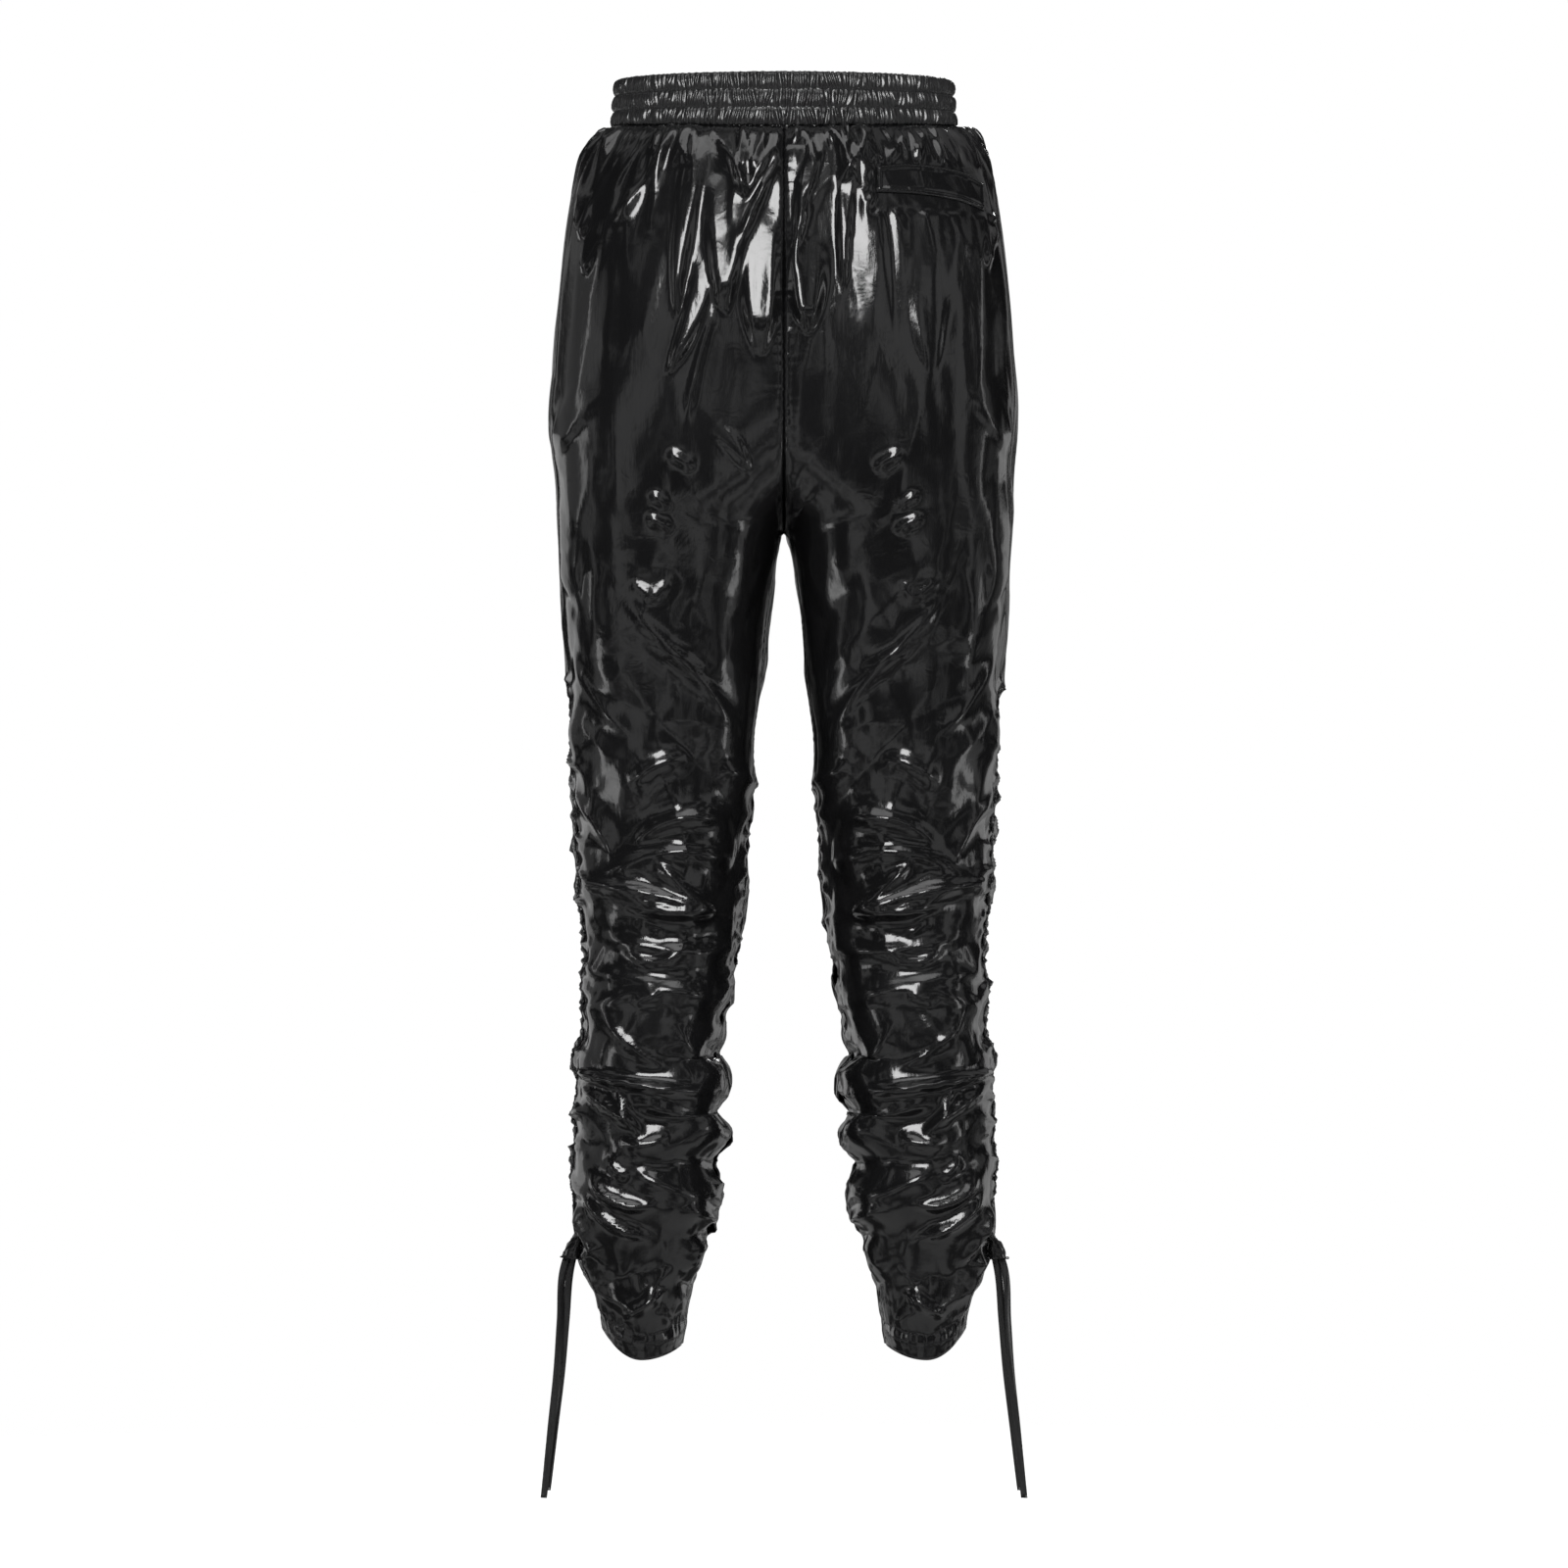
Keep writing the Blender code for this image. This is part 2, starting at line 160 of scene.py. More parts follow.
def add_mesh(name, points_mm, faces):
    mesh = bpy.data.meshes.new(name)
    mesh.from_pydata((np.asarray(points_mm) * MM).tolist(), [], faces)
    mesh.update()
    mesh.shade_smooth()
    piece = bpy.data.objects.new(name, mesh)
    bpy.context.scene.collection.objects.link(piece)
    return piece


def on_root(piece, node=None):
    """Put a piece on the only body and in place of its CAD node."""
    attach(piece, "root")
    if node:
        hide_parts(node)


# %% [markdown]
# ## The camera
#
# The photograph looks straight at the garment's back from well away, with a long
# lens, so both sides of every leg show about equally. The frame is square, and the
# trousers' length of cloth tells how wide it is.

# %% Camera
FRAME_WIDTH = 1.2458  # metres across the picture at the garment
CAMERA_DISTANCE = 7.0
CAMERA_HEIGHT = -0.5587
SENSOR = 36.0

camera_data = bpy.data.cameras.new("camera")
camera_data.sensor_width = SENSOR
camera_data.lens = SENSOR * CAMERA_DISTANCE / FRAME_WIDTH
camera_data.clip_end = 60
camera = bpy.data.objects.new("camera", camera_data)
camera.location = (0, CAMERA_DISTANCE, CAMERA_HEIGHT)
camera.rotation_euler = (math.pi / 2, 0, math.pi)
bpy.context.scene.collection.objects.link(camera)
bpy.context.scene.camera = camera
print(f"lens {camera_data.lens:.0f} mm")


# %% [markdown]
# ## The ties
#
# Two narrow ties of the same cloth hang out of the foot of each cord channel. A real
# one is a strip folded in on itself and sewn flat, so it has a soft edge, a slight
# twist, and a row of stitches. A curve with a bevel would be a round cord; a strip
# swept along the route by mesh code keeps it flat and lets it turn a little.

# %% Tie routes, the same as the CAD model's
TIE_WIDTH = 6.0
TIE_THICKNESS = 1.1
TiePoint = namedtuple("TiePoint", "drop x y")
OUTER_TIE = table(
    TiePoint,
    (930, 171, 13),
    (941.6, 174.5, 14),
    (984, 177.6, 15),
    (1026, 180.2, 15.5),
    (1072, 184.9, 15),
    (1124.8, 190.5, 14),
)
INNER_TIE = table(
    TiePoint,
    (930, 166.5, 11.5),
    (941.6, 169, 11.5),
    (984, 173, 11),
    (1026, 176.4, 11),
    (1072, 182, 11),
    (1119, 188, 10.5),
)
TIE_ROWS = 60
TIE_TWIST = 0.5  # radians, at most
TIE_TWIST_WAVE = 47.0  # mm down the tie for one radian of its turning
TIE_TWIST_START = 30.0  # mm over which the turning begins
TIE_SECTION = ((-1, 0), (-0.8, 0.8), (-0.25, 1), (0.25, 0.9), (0.8, 0.8), (1, 0),
               (0.8, -0.8), (0.25, -1), (-0.25, -0.9), (-0.8, -0.8))


def build_tie(node, side, route, phase):
    """Sweep the flat section down the route, turning it a little as cloth does."""
    drops = np.linspace(route[0].drop, route[-1].drop, TIE_ROWS)
    keys = [p.drop for p in route]
    x = side * hermite(keys, [p.x for p in route], drops)
    y = hermite(keys, [p.y for p in route], drops)
    middle = np.stack([x, y, -drops], axis=1)
    below = drops - drops[0]
    twist = TIE_TWIST * np.sin(below / TIE_TWIST_WAVE + phase) * ramp(below, 0, TIE_TWIST_START)
    points = []
    for row in range(TIE_ROWS):
        across = Vector((math.cos(twist[row]), math.sin(twist[row]), 0)) * TIE_WIDTH / 2
        through = Vector((-math.sin(twist[row]), math.cos(twist[row]), 0)) * TIE_THICKNESS / 2
        for a, t in TIE_SECTION:
            points.append(Vector(middle[row]) + across * a + through * t)
    around = len(TIE_SECTION)
    faces = grid_faces(TIE_ROWS, around, closed=True)
    faces.append(tuple(range(around)))
    faces.append(tuple(range(around * TIE_ROWS - around, around * TIE_ROWS))[::-1])
    piece = add_mesh(node + "_cloth", points, faces)
    on_root(piece, node)
    return piece


ties = []
for side, side_name in SIDES:
    for which, route, phase in (("outer", OUTER_TIE, 0.4), ("inner", INNER_TIE, 2.1)):
        ties.append(build_tie(f"tie_{side_name}_{which}", side, route, phase))


# %% [markdown]
# ## The body and the legs
#
# A garment maker would drape this on a form. Here the form is a table: one row for
# each level of the body and of one leg, with how far the cloth reaches to the outer
# side, to the inner side, back and forward. A section of the body is an ellipse cut
# at the middle; lower down it closes into the ring of a leg, and that turning-under
# makes the seat.

# %% The level table, in mm below the top of the waistband
BAND_DEPTH = 37.8
BAND_DIP = 5.0
DIP_FADE = 110.0
CENTRE_GAP = 0.3
SEAM_HALF_GAP = 0.0  # the sewn centre seam lets no light through
CROTCH = 362.4
CLEFT_RISE = 125.0
CLEFT_CURVE = 2.5
HEM = 1013.0
HEM_RISE_OUTER = 25.0
HEM_RISE_INNER = 10.5
HEM_RISE_REACH = 110.0
SIDE_SEAM_TURN = 0.13
INSEAM_TURN = 0.20
FLATNESS = 0.28  # how much flatter than an ellipse the back and front are
LEG_FLATNESS = -0.10  # and how much more, or less, on the legs
FLAT_FROM = (45, 130)  # drops between which each of these begins
LEG_FLAT_FROM = (400, 560)
HEM_ROUNDING = 0.6  # how much of the flatness is lost again at the hem
HEM_ROUND_FROM = (900, 1000)
INSEAM_TURN_FADE = 90.0  # mm below the crotch over which the inseam turns back

Level = namedtuple("Level", "drop outer inner back front")
LEVELS = table(
    Level,
    (38.2, 139, 0, 101, 97),
    (45, 148, 0, 107, 101),
    (54, 156, 0, 112, 103),
    (83, 166.6, 0, 120, 105),
    (116, 172.5, 0, 125.5, 108),
    (156, 177.2, 0, 131, 110),
    (203, 180.6, 0, 134, 110),
    (264, 185.2, 0, 130, 108),
    (285, 183.4, 0, 128, 107),
    (317, 179.1, 0, 124, 106),
    (341, 179.9, 0, 119, 105),
    (362.4, 179.1, 0.3, 114, 104),
    (369, 178.6, 5.1, 112, 104),
    (385, 177.9, 7.2, 109, 103),
    (434, 176.5, 13.8, 101, 101),
    (470, 173, 16, 94, 99),
    (486, 170.5, 17.2, 91, 98),
    (514, 168.9, 22, 86, 95),
    (548, 166.4, 22.6, 80, 92),
    (584, 163.6, 25.3, 75, 88),
    (603, 165.2, 27.5, 74, 87),
    (621, 162.6, 28.8, 75, 85),
    (653, 161.8, 31.8, 76, 82),
    (681, 159.6, 34.6, 76.5, 80),
    (704, 159.4, 39.7, 77, 78),
    (723, 159.4, 42, 78, 77),
    (741, 159.8, 48.3, 78.5, 76),
    (760, 161.2, 48.8, 79.5, 75),
    (777, 165.6, 54.9, 79.5, 74),
    (786, 162.8, 46, 81, 74),
    (795, 163, 42.4, 82, 74),
    (808, 164.2, 45.2, 81.5, 73),
    (819, 165.6, 54.5, 79, 72),
    (833, 165, 44.4, 81.5, 72),
    (843, 163.6, 45.2, 81, 71),
    (856, 166.6, 56, 78, 70),
    (872, 166, 51, 80, 70),
    (883, 165.5, 49.8, 80, 69),
    (896, 164.8, 52.2, 78, 68),
    (914, 162.3, 61.7, 74, 66),
    (943, 158.8, 67.4, 67, 63),
    (963, 153, 72.4, 62, 60),
    (984, 147.5, 77.1, 58, 57),
    (1013, 145, 79.8, 55, 55),
)


def column(name, drops):
    return hermite([r.drop for r in LEVELS], [getattr(r, name) for r in LEVELS], drops)


# %% Points of one side of the garment, all at once
def inner_turns(drops):
    """The turn at which each section reaches the middle of the body or of the leg."""
    above = np.clip((CROTCH - drops) / CLEFT_RISE, 0.0, 1.0)
    closed = (1 - above) ** (CLEFT_CURVE / 2)
    return np.where(drops < CROTCH, np.arccos(-closed), math.pi), closed


def shell_points(drops, turns):
    """Points in mm; drops is a column of levels and turns has a row for each."""
    drops = drops[:, None]
    outer, inner, back, front = (column(c, drops) for c in ("outer", "inner", "back", "front"))
    closed = inner_turns(drops)[1]
    inner = np.maximum(inner, CENTRE_GAP)
    flat = FLATNESS + LEG_FLATNESS * ramp(drops, *LEG_FLAT_FROM)
    square = 1 - flat * ramp(drops, *FLAT_FROM) * (1 - HEM_ROUNDING * ramp(drops, *HEM_ROUND_FROM))
    half = np.where(drops < CROTCH, (outer - CENTRE_GAP) / (1 + closed ** square), (outer - inner) / 2)
    centre_y = (back - front) / 2
    sine, cosine = np.sin(turns), np.cos(turns)
    sine = np.sign(sine) * np.abs(sine) ** square
    cosine = np.sign(cosine) * np.abs(cosine) ** square
    depth = np.where(sine > 0, back - centre_y, front + centre_y)
    dip = BAND_DIP * sine ** 2 * (1 - ramp(drops, BAND_DEPTH, BAND_DEPTH + DIP_FADE))
    rise = np.where(cosine > 0, HEM_RISE_OUTER, HEM_RISE_INNER)
    rise = rise * cosine ** 2 * ramp(drops, HEM - HEM_RISE_REACH, HEM)
    x = outer - half + half * cosine
    return np.stack([x, centre_y + depth * sine, rise - drops - dip], axis=-1)


ROW_STEP = 5.0  # mm between rows of the form
COLUMNS = 96  # round one side, an even number
HALF = COLUMNS // 2  # the column of the side seam
FINE_STEPS = 240
FORM_SMOOTHING = 16  # passes that soften the steps of the level table
KEPT_TOP = (45, 120)  # the drops between which the table's own steps fade out
KEPT_LEG = (470, 600)  # and those between which they come back


def side_grid():
    """One side's cloth as a grid. Columns start at the back's centre seam or inseam,
    pass the side seam at the middle column and end at the front's."""
    drops = np.append(np.arange(LEVELS[0].drop, HEM - ROW_STEP / 2, ROW_STEP), HEM)
    lean = INSEAM_TURN * ramp(drops, CROTCH, CROTCH + INSEAM_TURN_FADE)
    start = inner_turns(drops)[0] - lean
    end = -inner_turns(drops)[0] - lean
    fine = start[:, None] + (end - start)[:, None] * np.linspace(0, 1, FINE_STEPS + 1)
    points = shell_points(drops, fine)
    lengths = lengths_along(points)
    turns = np.empty((len(drops), COLUMNS + 1))
    for row in range(len(drops)):
        seam = np.interp(-SIDE_SEAM_TURN, -fine[row], lengths[row])
        wanted = np.concatenate([
            np.linspace(0, seam, HALF + 1),
            np.linspace(seam, lengths[row, -1], COLUMNS - HALF + 1)[1:],
        ])
        turns[row] = np.interp(wanted, lengths[row], fine[row])
    return drops, shell_points(drops, turns)


def smooth_rows(grid, passes):
    for _ in range(passes):
        new = grid.copy()
        new[1:-1] = (grid[:-2] + 2 * grid[1:-1] + grid[2:]) / 4
        grid = new
    return grid


drops, raw_form = side_grid()
soft = smooth_rows(raw_form, FORM_SMOOTHING)
keep = (ramp(drops, *KEPT_LEG) + 1 - ramp(drops, *KEPT_TOP))[:, None, None]
form = soft + (raw_form - soft) * np.clip(keep, 0, 1)
trunk = drops < CROTCH
form[trunk, 0, 0] = form[trunk, -1, 0] = SEAM_HALF_GAP
form[~trunk, -1] = form[~trunk, 0]
across = 1 - np.abs(np.arange(COLUMNS + 1) - HALF) / HALF  # 1 at the side seam
girth = np.linalg.norm(np.diff(form, axis=1), axis=2).sum(axis=1)
print(f"{len(drops)} rows; waist {2 * girth[0]:.0f} mm round, hips {2 * girth.max():.0f},",
      f"hem {girth[-1]:.0f}")


# %% [markdown]
# ## The placed folds
#
# What tells this garment from a plain tube is where its folds lie. Each row of these
# tables is one soft ridge as seen from behind or from the front: its two ends, how
# far its middle bows off the straight line, its half width and its height. The
# photograph shows the back; the front has folds of the same kind in other places.

# %% Fold tables, in mm
Fold = namedtuple("Fold", "x_top top x_foot foot bow half_width height")
SEAT_LEFT = table(
    Fold,
    (87, 47, 134, 122, -4, 5, 7.5),
    (75, 39, 75, 75, 4, 4.5, 4),
    (68, 62, 84, 196, 3, 9, 9.5),
    (44, 92, 47, 192, 0, 16, 10.5),
    (47, 168, 76, 276, 3, 3.2, 5),
    (62, 160, 90, 238, -3, 9, 10),
    (13, 118, 19, 224, 1, 21, 10),
    (-6, 60, 34, 138, 3, 4, 3.5),
    (54, 48, 30, 101, -3, 3.4, 6),
    (43, 58, 30, 100, -1, 2.8, 4.5),
    (34, 42, 30, 82, 0, 2.8, 4),
    (14, 46, 24, 82, 2, 3, 5),
    (-2, 48, 29, 101, 3, 3.2, 5.5),
    (-4, 60, 32, 134, 4, 3.2, 5.5),
    (161, 94, 135, 40, 4, 8, 3),
    (157, 98, 158, 132, 0, 7, 5),
    (150, 130, 156, 160, 0, 6.5, 4.5),
    (51, 282, 27, 314, -2, 7, 5),
    (150, 250, 176, 300, 6, 14, 4),
    (165, 330, 160, 420, 8, 14, 4),
)
SEAT_RIGHT = table(
    Fold,
    (-30, 50, -10, 140, 4, 6.5, 6),
    (-38, 80, -6, 168, 8, 5, 5),
    (-15, 140, -20, 206, 0, 17, 13),
    (-68, 38, -41, 90, -3, 5.5, 6.5),
    (-51, 80, -47, 174, 2, 6.2, 8),
    (-95, 42, -84, 69, 0, 4.5, 4),
    (-113, 39, -104, 68, 2, 5, 4),
    (-169, 112, -160, 155, 3, 6, 4.5),
    (-24, 60, -18, 100, -2, 4, 2.5),
    (-60, 72, -70, 84, 0, 2.2, 4),
    (-62, 92, -70, 92, 0, 2, 3),
    (-64, 108, -72, 98, 0, 2.4, 4.5),
    (-79, 99, -77, 112, 1, 2.6, 5),
    (-87, 99, -90, 108, 0, 2.2, 4),
    (-95, 100, -95, 107, 0, 2, 3),
    (-106, 101, -107, 108, 0, 2, 2.5),
    (-120, 102, -119, 109, 0, 2, 2.5),
    (-156, 106, -166, 116, 0, 3, 4),
    (-82, 62, -84, 74, 0, 2.2, 3),
    (-125, 130, -115, 240, 6, 18, 3),
    (-20, 325, -5, 350, 0, 6, 3),
    (-150, 250, -176, 300, -6, 14, 4),
    (-165, 330, -160, 420, -8, 14, 4),
)
FRONT_LEFT = table(
    Fold,
    (92, 44, 128, 140, 4, 7, 4.5),
    (62, 42, 80, 165, -3, 8, 5),
    (30, 44, 36, 120, 2, 6, 3.5),
    (118, 120, 128, 215, 0, 9, 4),
    (28, 190, 10, 300, 5, 8, 4),
    (75, 270, 22, 345, 6, 8, 4),
    (110, 300, 40, 372, 8, 9, 3.5),
    (150, 60, 160, 130, 2, 7, 3),
)
FRONT_RIGHT = table(
    Fold,
    (-100, 42, -132, 118, -4, 7, 4.5),
    (-54, 44, -76, 150, 3, 8, 5),
    (-26, 44, -40, 130, -2, 6, 3.5),
    (-108, 140, -122, 230, 0, 9, 4),
    (-32, 205, -12, 300, -5, 8, 4),
    (-82, 262, -24, 342, -6, 8, 4),
    (-104, 310, -36, 376, -8, 9, 3.5),
    (-152, 66, -161, 140, -2, 7, 3),
)
LEG_BACK = table(
    Fold,
    (91, 300, 71, 312, 0, 5, 2.6),
    (104, 332, 90, 343, 0, 4, 2.6),
    (107, 350, 88, 359, 0, 4.5, 3),
    (119, 400, 102, 414, 0, 4.5, 1.9),
    (102, 416, 92, 401, 0, 4, 1.5),
    (120, 418, 60, 470, 5, 5, 2.6),
    (104, 448, 46, 506, -6, 5, 3.4),
    (168, 452, 120, 520, 6, 7, 2.4),
    (165, 500, 135, 605, 4, 9, 4),
    (80, 537, 118, 556, 3, 8, 5),
    (50, 545, 24, 560, 0, 9, 4),
    (163, 560, 137, 617, -2, 5, 3.5),
    (118, 604, 47, 586, -9, 8, 5.5),
    (136, 628, 40, 622, -12, 8, 5.5),
    (162, 636, 55, 661, -4, 6.5, 5.5),
    (100, 619, 55, 661, 3, 4.5, 4),
    (127, 645, 65, 659, 4, 5.5, 4.5),
    (122, 655, 60, 661, 3, 4, 4.5),
    (116, 666, 95, 678, 1, 4, 1.5),
    (140, 680, 36, 688, 5, 7, 3),
    (122, 692, 80, 690, 8, 4.5, 4.5),
    (160, 706, 90, 717, 0, 7, 1.8),
    (118, 730, 98, 725, 0, 4, 3),
    (156, 738, 42, 733, -14, 9, 3.2),
    (140, 738, 94, 780, 7, 5, 2.8),
    (85, 750, 45, 790, 6, 9, 4),
    (166, 784, 68, 800, 3, 3.6, 8.5),
    (158, 799, 113, 833, -2, 5.5, 5.5),
    (131, 797, 122, 826, 0, 4, 3),
    (117, 807, 46, 836, -3, 9, 6.5),
    (125, 841, 92, 836, 3, 5, 4),
    (138, 853, 124, 868, 2, 4.5, 3),
    (122, 862, 50, 884, 5, 10, 3.8),
    (150, 868, 104, 890, 9, 4.5, 5.5),
    (154, 882, 108, 916, 6, 4.5, 5.5),
    (160, 890, 143, 936, 3, 4.5, 5.5),
    (156, 926, 138, 980, 4, 5, 5),
    (80, 893, 52, 905, -2, 7, 4.5),
    (66, 917, 78, 942, 0, 6, 3.5),
    (90, 940, 112, 972, 2, 6, 2.5),
    (124, 978, 96, 958, 0, 4.5, 4.5),
)
LEG_FRONT = table(
    Fold,
    (150, 410, 60, 430, -8, 22, 3),
    (160, 520, 50, 500, 8, 16, 4),
    (160, 555, 95, 575, 3, 8, 4.5),
    (135, 585, 40, 570, -8, 8, 5),
    (158, 610, 60, 636, 4, 7, 5.5),
    (120, 625, 35, 620, -8, 7, 5),
    (160, 648, 85, 662, -3, 6.5, 5),
    (118, 676, 38, 668, 5, 7, 5.5),
    (158, 690, 76, 708, 4, 6, 5.5),
    (150, 722, 42, 716, -10, 8, 6),
    (156, 748, 90, 768, 3, 5.5, 5),
    (120, 760, 46, 786, 4, 8, 6),
    (160, 782, 64, 802, 5, 6, 6),
    (156, 806, 104, 830, -3, 5.5, 5),
    (112, 820, 46, 838, 2, 8, 6),
    (154, 846, 70, 862, 6, 6.5, 5.5),
    (118, 868, 50, 884, 3, 9, 6),
    (158, 872, 112, 902, 6, 4.5, 5.5),
    (161, 874, 128, 926, 3, 4.5, 5.5),
    (163, 876, 148, 960, 2, 5, 5),
    (92, 900, 56, 912, -2, 7, 4.5),
    (76, 930, 98, 968, 2, 7, 3.5),
    (128, 950, 104, 990, 3, 7, 2.5),
)


BROAD = 6.0  # a hanging fold at least this wide has a flat top
CREST_RADIUS = 0.3  # of the half width
CREST_SPREAD = 0.7
HANGING_START = 0.1  # how far above its top a hanging fold starts, as a share of its length
HANGING_FOOT = (0.72, 1.06)  # the shares of its length between which it ends
PLAIN_START, PLAIN_END = (-0.15, 0.3), (0.7, 1.15)
NARROWING = 0.8  # how much of its width a broad fold loses down its length
FLAT_TOP = (0.5, 1.4)  # shares of the half width at which the top ends and the flank ends


def crest(aside, half_width):
    """A fold of taut cloth: a tight rounded crest and flanks that hollow out."""
    radius = CREST_RADIUS * half_width
    return np.exp(-(np.sqrt(aside ** 2 + radius ** 2) - radius) / (CREST_SPREAD * half_width))


def fold_heights(folds, x, drop, hanging=False):
    """The summed height of the ridges at every point seen from one side. A hanging
    fold swells steadily down its length and ends in a blunt foot."""
    total = np.zeros_like(x)
    for fold in folds:
        along_x, along = fold.x_foot - fold.x_top, fold.foot - fold.top
        length = math.hypot(along_x, along)
        place = ((x - fold.x_top) * along_x + (drop - fold.top) * along) / length ** 2
        aside = ((x - fold.x_top) * along - (drop - fold.top) * along_x) / length
        aside = aside - fold.bow * (1 - np.clip(2 * place - 1, -1, 1) ** 2)
        if hanging:
            ends = np.clip(place + HANGING_START, 0, 1) * (1 - ramp(place, *HANGING_FOOT))
        else:
            ends = ramp(place, *PLAIN_START) * (1 - ramp(place, *PLAIN_END))
        if hanging and fold.half_width >= BROAD:
            narrowed = fold.half_width * (1 - NARROWING * np.clip(place, 0, 1) ** 2)
            shape = 1 - ramp(np.abs(aside), FLAT_TOP[0] * narrowed, FLAT_TOP[1] * narrowed)
        else:
            shape = crest(aside, fold.half_width)
        total += fold.height * ends * shape
    return total


# %% [markdown]
# ## The cut
#
# The cloth is cut larger than the shape that it hangs in. The lower leg is longer,
# because its cord channel draws it up, and the top is wider than its elastic. How
# much larger is a small table of shares, and the flat size of each panel is measured
# on the form stretched by them. The spare cloth is what stands up in the folds.

# %% Fullness of the cut
WAIST_FULLNESS = 0.16
BODY_FULLNESS = 0.03
LEG_FULLNESS_OUTER = 0.50
LEG_FULLNESS_INNER = 0.35
CALF_FULLNESS = 0.05  # how much wider the lower leg is cut
WAIST_FULL_TO = (45, 230)  # the drops between which each of these begins or ends
OUTER_FULL_FROM = (490, 640)
INNER_FULL_FROM = (520, 680)
CALF_FULL_FROM = (600, 700)
LEG_FULL_TO = (925, 985)


def rest_grid():
    """The cut's own size: the form made longer down the leg and wider at the waist."""
    rest = form.copy()
    middle = (drops[1:] + drops[:-1]) / 2
    fade = 1 - ramp(middle, *LEG_FULL_TO)
    outer = LEG_FULLNESS_OUTER * ramp(middle, *OUTER_FULL_FROM) * fade
    inner = LEG_FULLNESS_INNER * ramp(middle, *INNER_FULL_FROM) * fade
    full = BODY_FULLNESS + outer[:, None] * across + inner[:, None] * (1 - across)
    lengths = np.diff(form[:, :, 2], axis=0) * (1 + full)
    rest[:, :, 2] = np.concatenate([form[:1, :, 2], form[:1, :, 2] + np.cumsum(lengths, axis=0)])
    wide = (WAIST_FULLNESS * (1 - ramp(drops, *WAIST_FULL_TO)) + BODY_FULLNESS
            + CALF_FULLNESS * ramp(drops, *CALF_FULL_FROM))
    centre = form.mean(axis=1, keepdims=True)
    centre[trunk, 0, 0] = 0
    rest[:, :, :2] = centre[:, :, :2] + (form[:, :, :2] - centre[:, :, :2]) * (1 + wide)[:, None, None]
    return rest


def smooth_noise(shape, cells, seed):
    """Random numbers on a coarse grid, read smoothly on a fine one."""
    coarse = np.random.default_rng(seed).uniform(-1, 1, (cells[0] + 3, cells[1] + 3))
    i = np.linspace(0, cells[0] - 1e-6, shape[0]) + 1
    j = np.linspace(0, cells[1] - 1e-6, shape[1]) + 1

    def weights(t):
        t = t - np.floor(t)
        return np.stack([
            -t / 2 + t ** 2 - t ** 3 / 2, 1 - 2.5 * t ** 2 + 1.5 * t ** 3,
            t / 2 + 2 * t ** 2 - 1.5 * t ** 3, -t ** 2 / 2 + t ** 3 / 2,
        ])

    wi, wj = weights(i), weights(j)
    bi, bj = np.floor(i).astype(int), np.floor(j).astype(int)
    out = np.zeros(shape)
    for a in range(4):
        for b in range(4):
            out += wi[a][:, None] * wj[b][None, :] * coarse[(bi + a - 1)[:, None], (bj + b - 1)[None, :]]
    return out


# %% [markdown]
# ## Finer cloth
#
# The level table's grid is too coarse for a crease or a pucker. Reading it on a grid
# twice as fine, along a smooth curve through its points, leaves the form as it is
# and makes room for them. Everything that follows moves the fine points along their
# normals.

# %% Refine a grid and read the puckers of a seam
REFINE = 2
MIDDLE = HALF * REFINE  # the fine column of the side seam
ON_BACK = (np.arange(2 * MIDDLE + 1) <= MIDDLE)[None, :]
PUCKER_STEP = (0.55, 1.5)  # least and most, as shares of the pitch
PUCKER_SIZE = (0.4, 1.0)
PUCKER_WIDTH = (0.22, 0.36)


def refine(grid, axis):
    """Catmull-Rom reading of the grid, REFINE times finer along one axis."""
    grid = np.moveaxis(grid, axis, 0)
    count = len(grid)
    at = np.linspace(0, count - 1, (count - 1) * REFINE + 1)
    i = np.minimum(at.astype(int), count - 2)
    t = (at - i).reshape(-1, *([1] * (grid.ndim - 1)))
    before, after = grid[np.maximum(i - 1, 0)], grid[np.minimum(i + 2, count - 1)]
    a, b = grid[i], grid[i + 1]
    new = 0.5 * (2 * a + (b - before) * t + (2 * before - 5 * a + 4 * b - after) * t ** 2
                 + (3 * a - before - 3 * b + after) * t ** 3)
    return np.moveaxis(new, 0, axis)


def puckers(length, pitch, seed):
    """An uneven ripple along a seam of that length, one value for each mm."""
    places = np.arange(int(length) + 1, dtype=float)
    random = np.random.default_rng(seed)
    value, at = np.zeros_like(places), 0.0
    while at < length:
        at += pitch * random.uniform(*PUCKER_STEP)
        value += random.uniform(*PUCKER_SIZE) * bell(places - at, pitch * random.uniform(*PUCKER_WIDTH))
    return value - value.mean()


def puckers_at(places, length, pitch, seed):
    """The ripple of a seam of that length, read at those places along it."""
    return np.interp(places, np.arange(int(length) + 1), puckers(length, pitch, seed))


def seam_distance(grid, column):
    """How far every point is from one column of the grid, along its row."""
    lengths = lengths_along(grid)
    return np.abs(lengths - lengths[:, column][:, None])


def centre_distance(grid):
    """How far every point is from the centre seam or the inseam."""
    return np.minimum(seam_distance(grid, 0), seam_distance(grid, -1))


# %% [markdown]
# ## Facets
#
# Coated cloth doesn't flow like wool. Where it is crumpled it stands in flat
# facets that meet in tight creases, and each facet mirrors its own piece of the
# studio. A table of them is made from random points joined into triangles, each
# point with a random height, and is read at every point of the cloth.

# %% Tables of facets
FACET_STRAY = 0.38  # how far a corner strays from its place, in cells
TINY = 1e-9


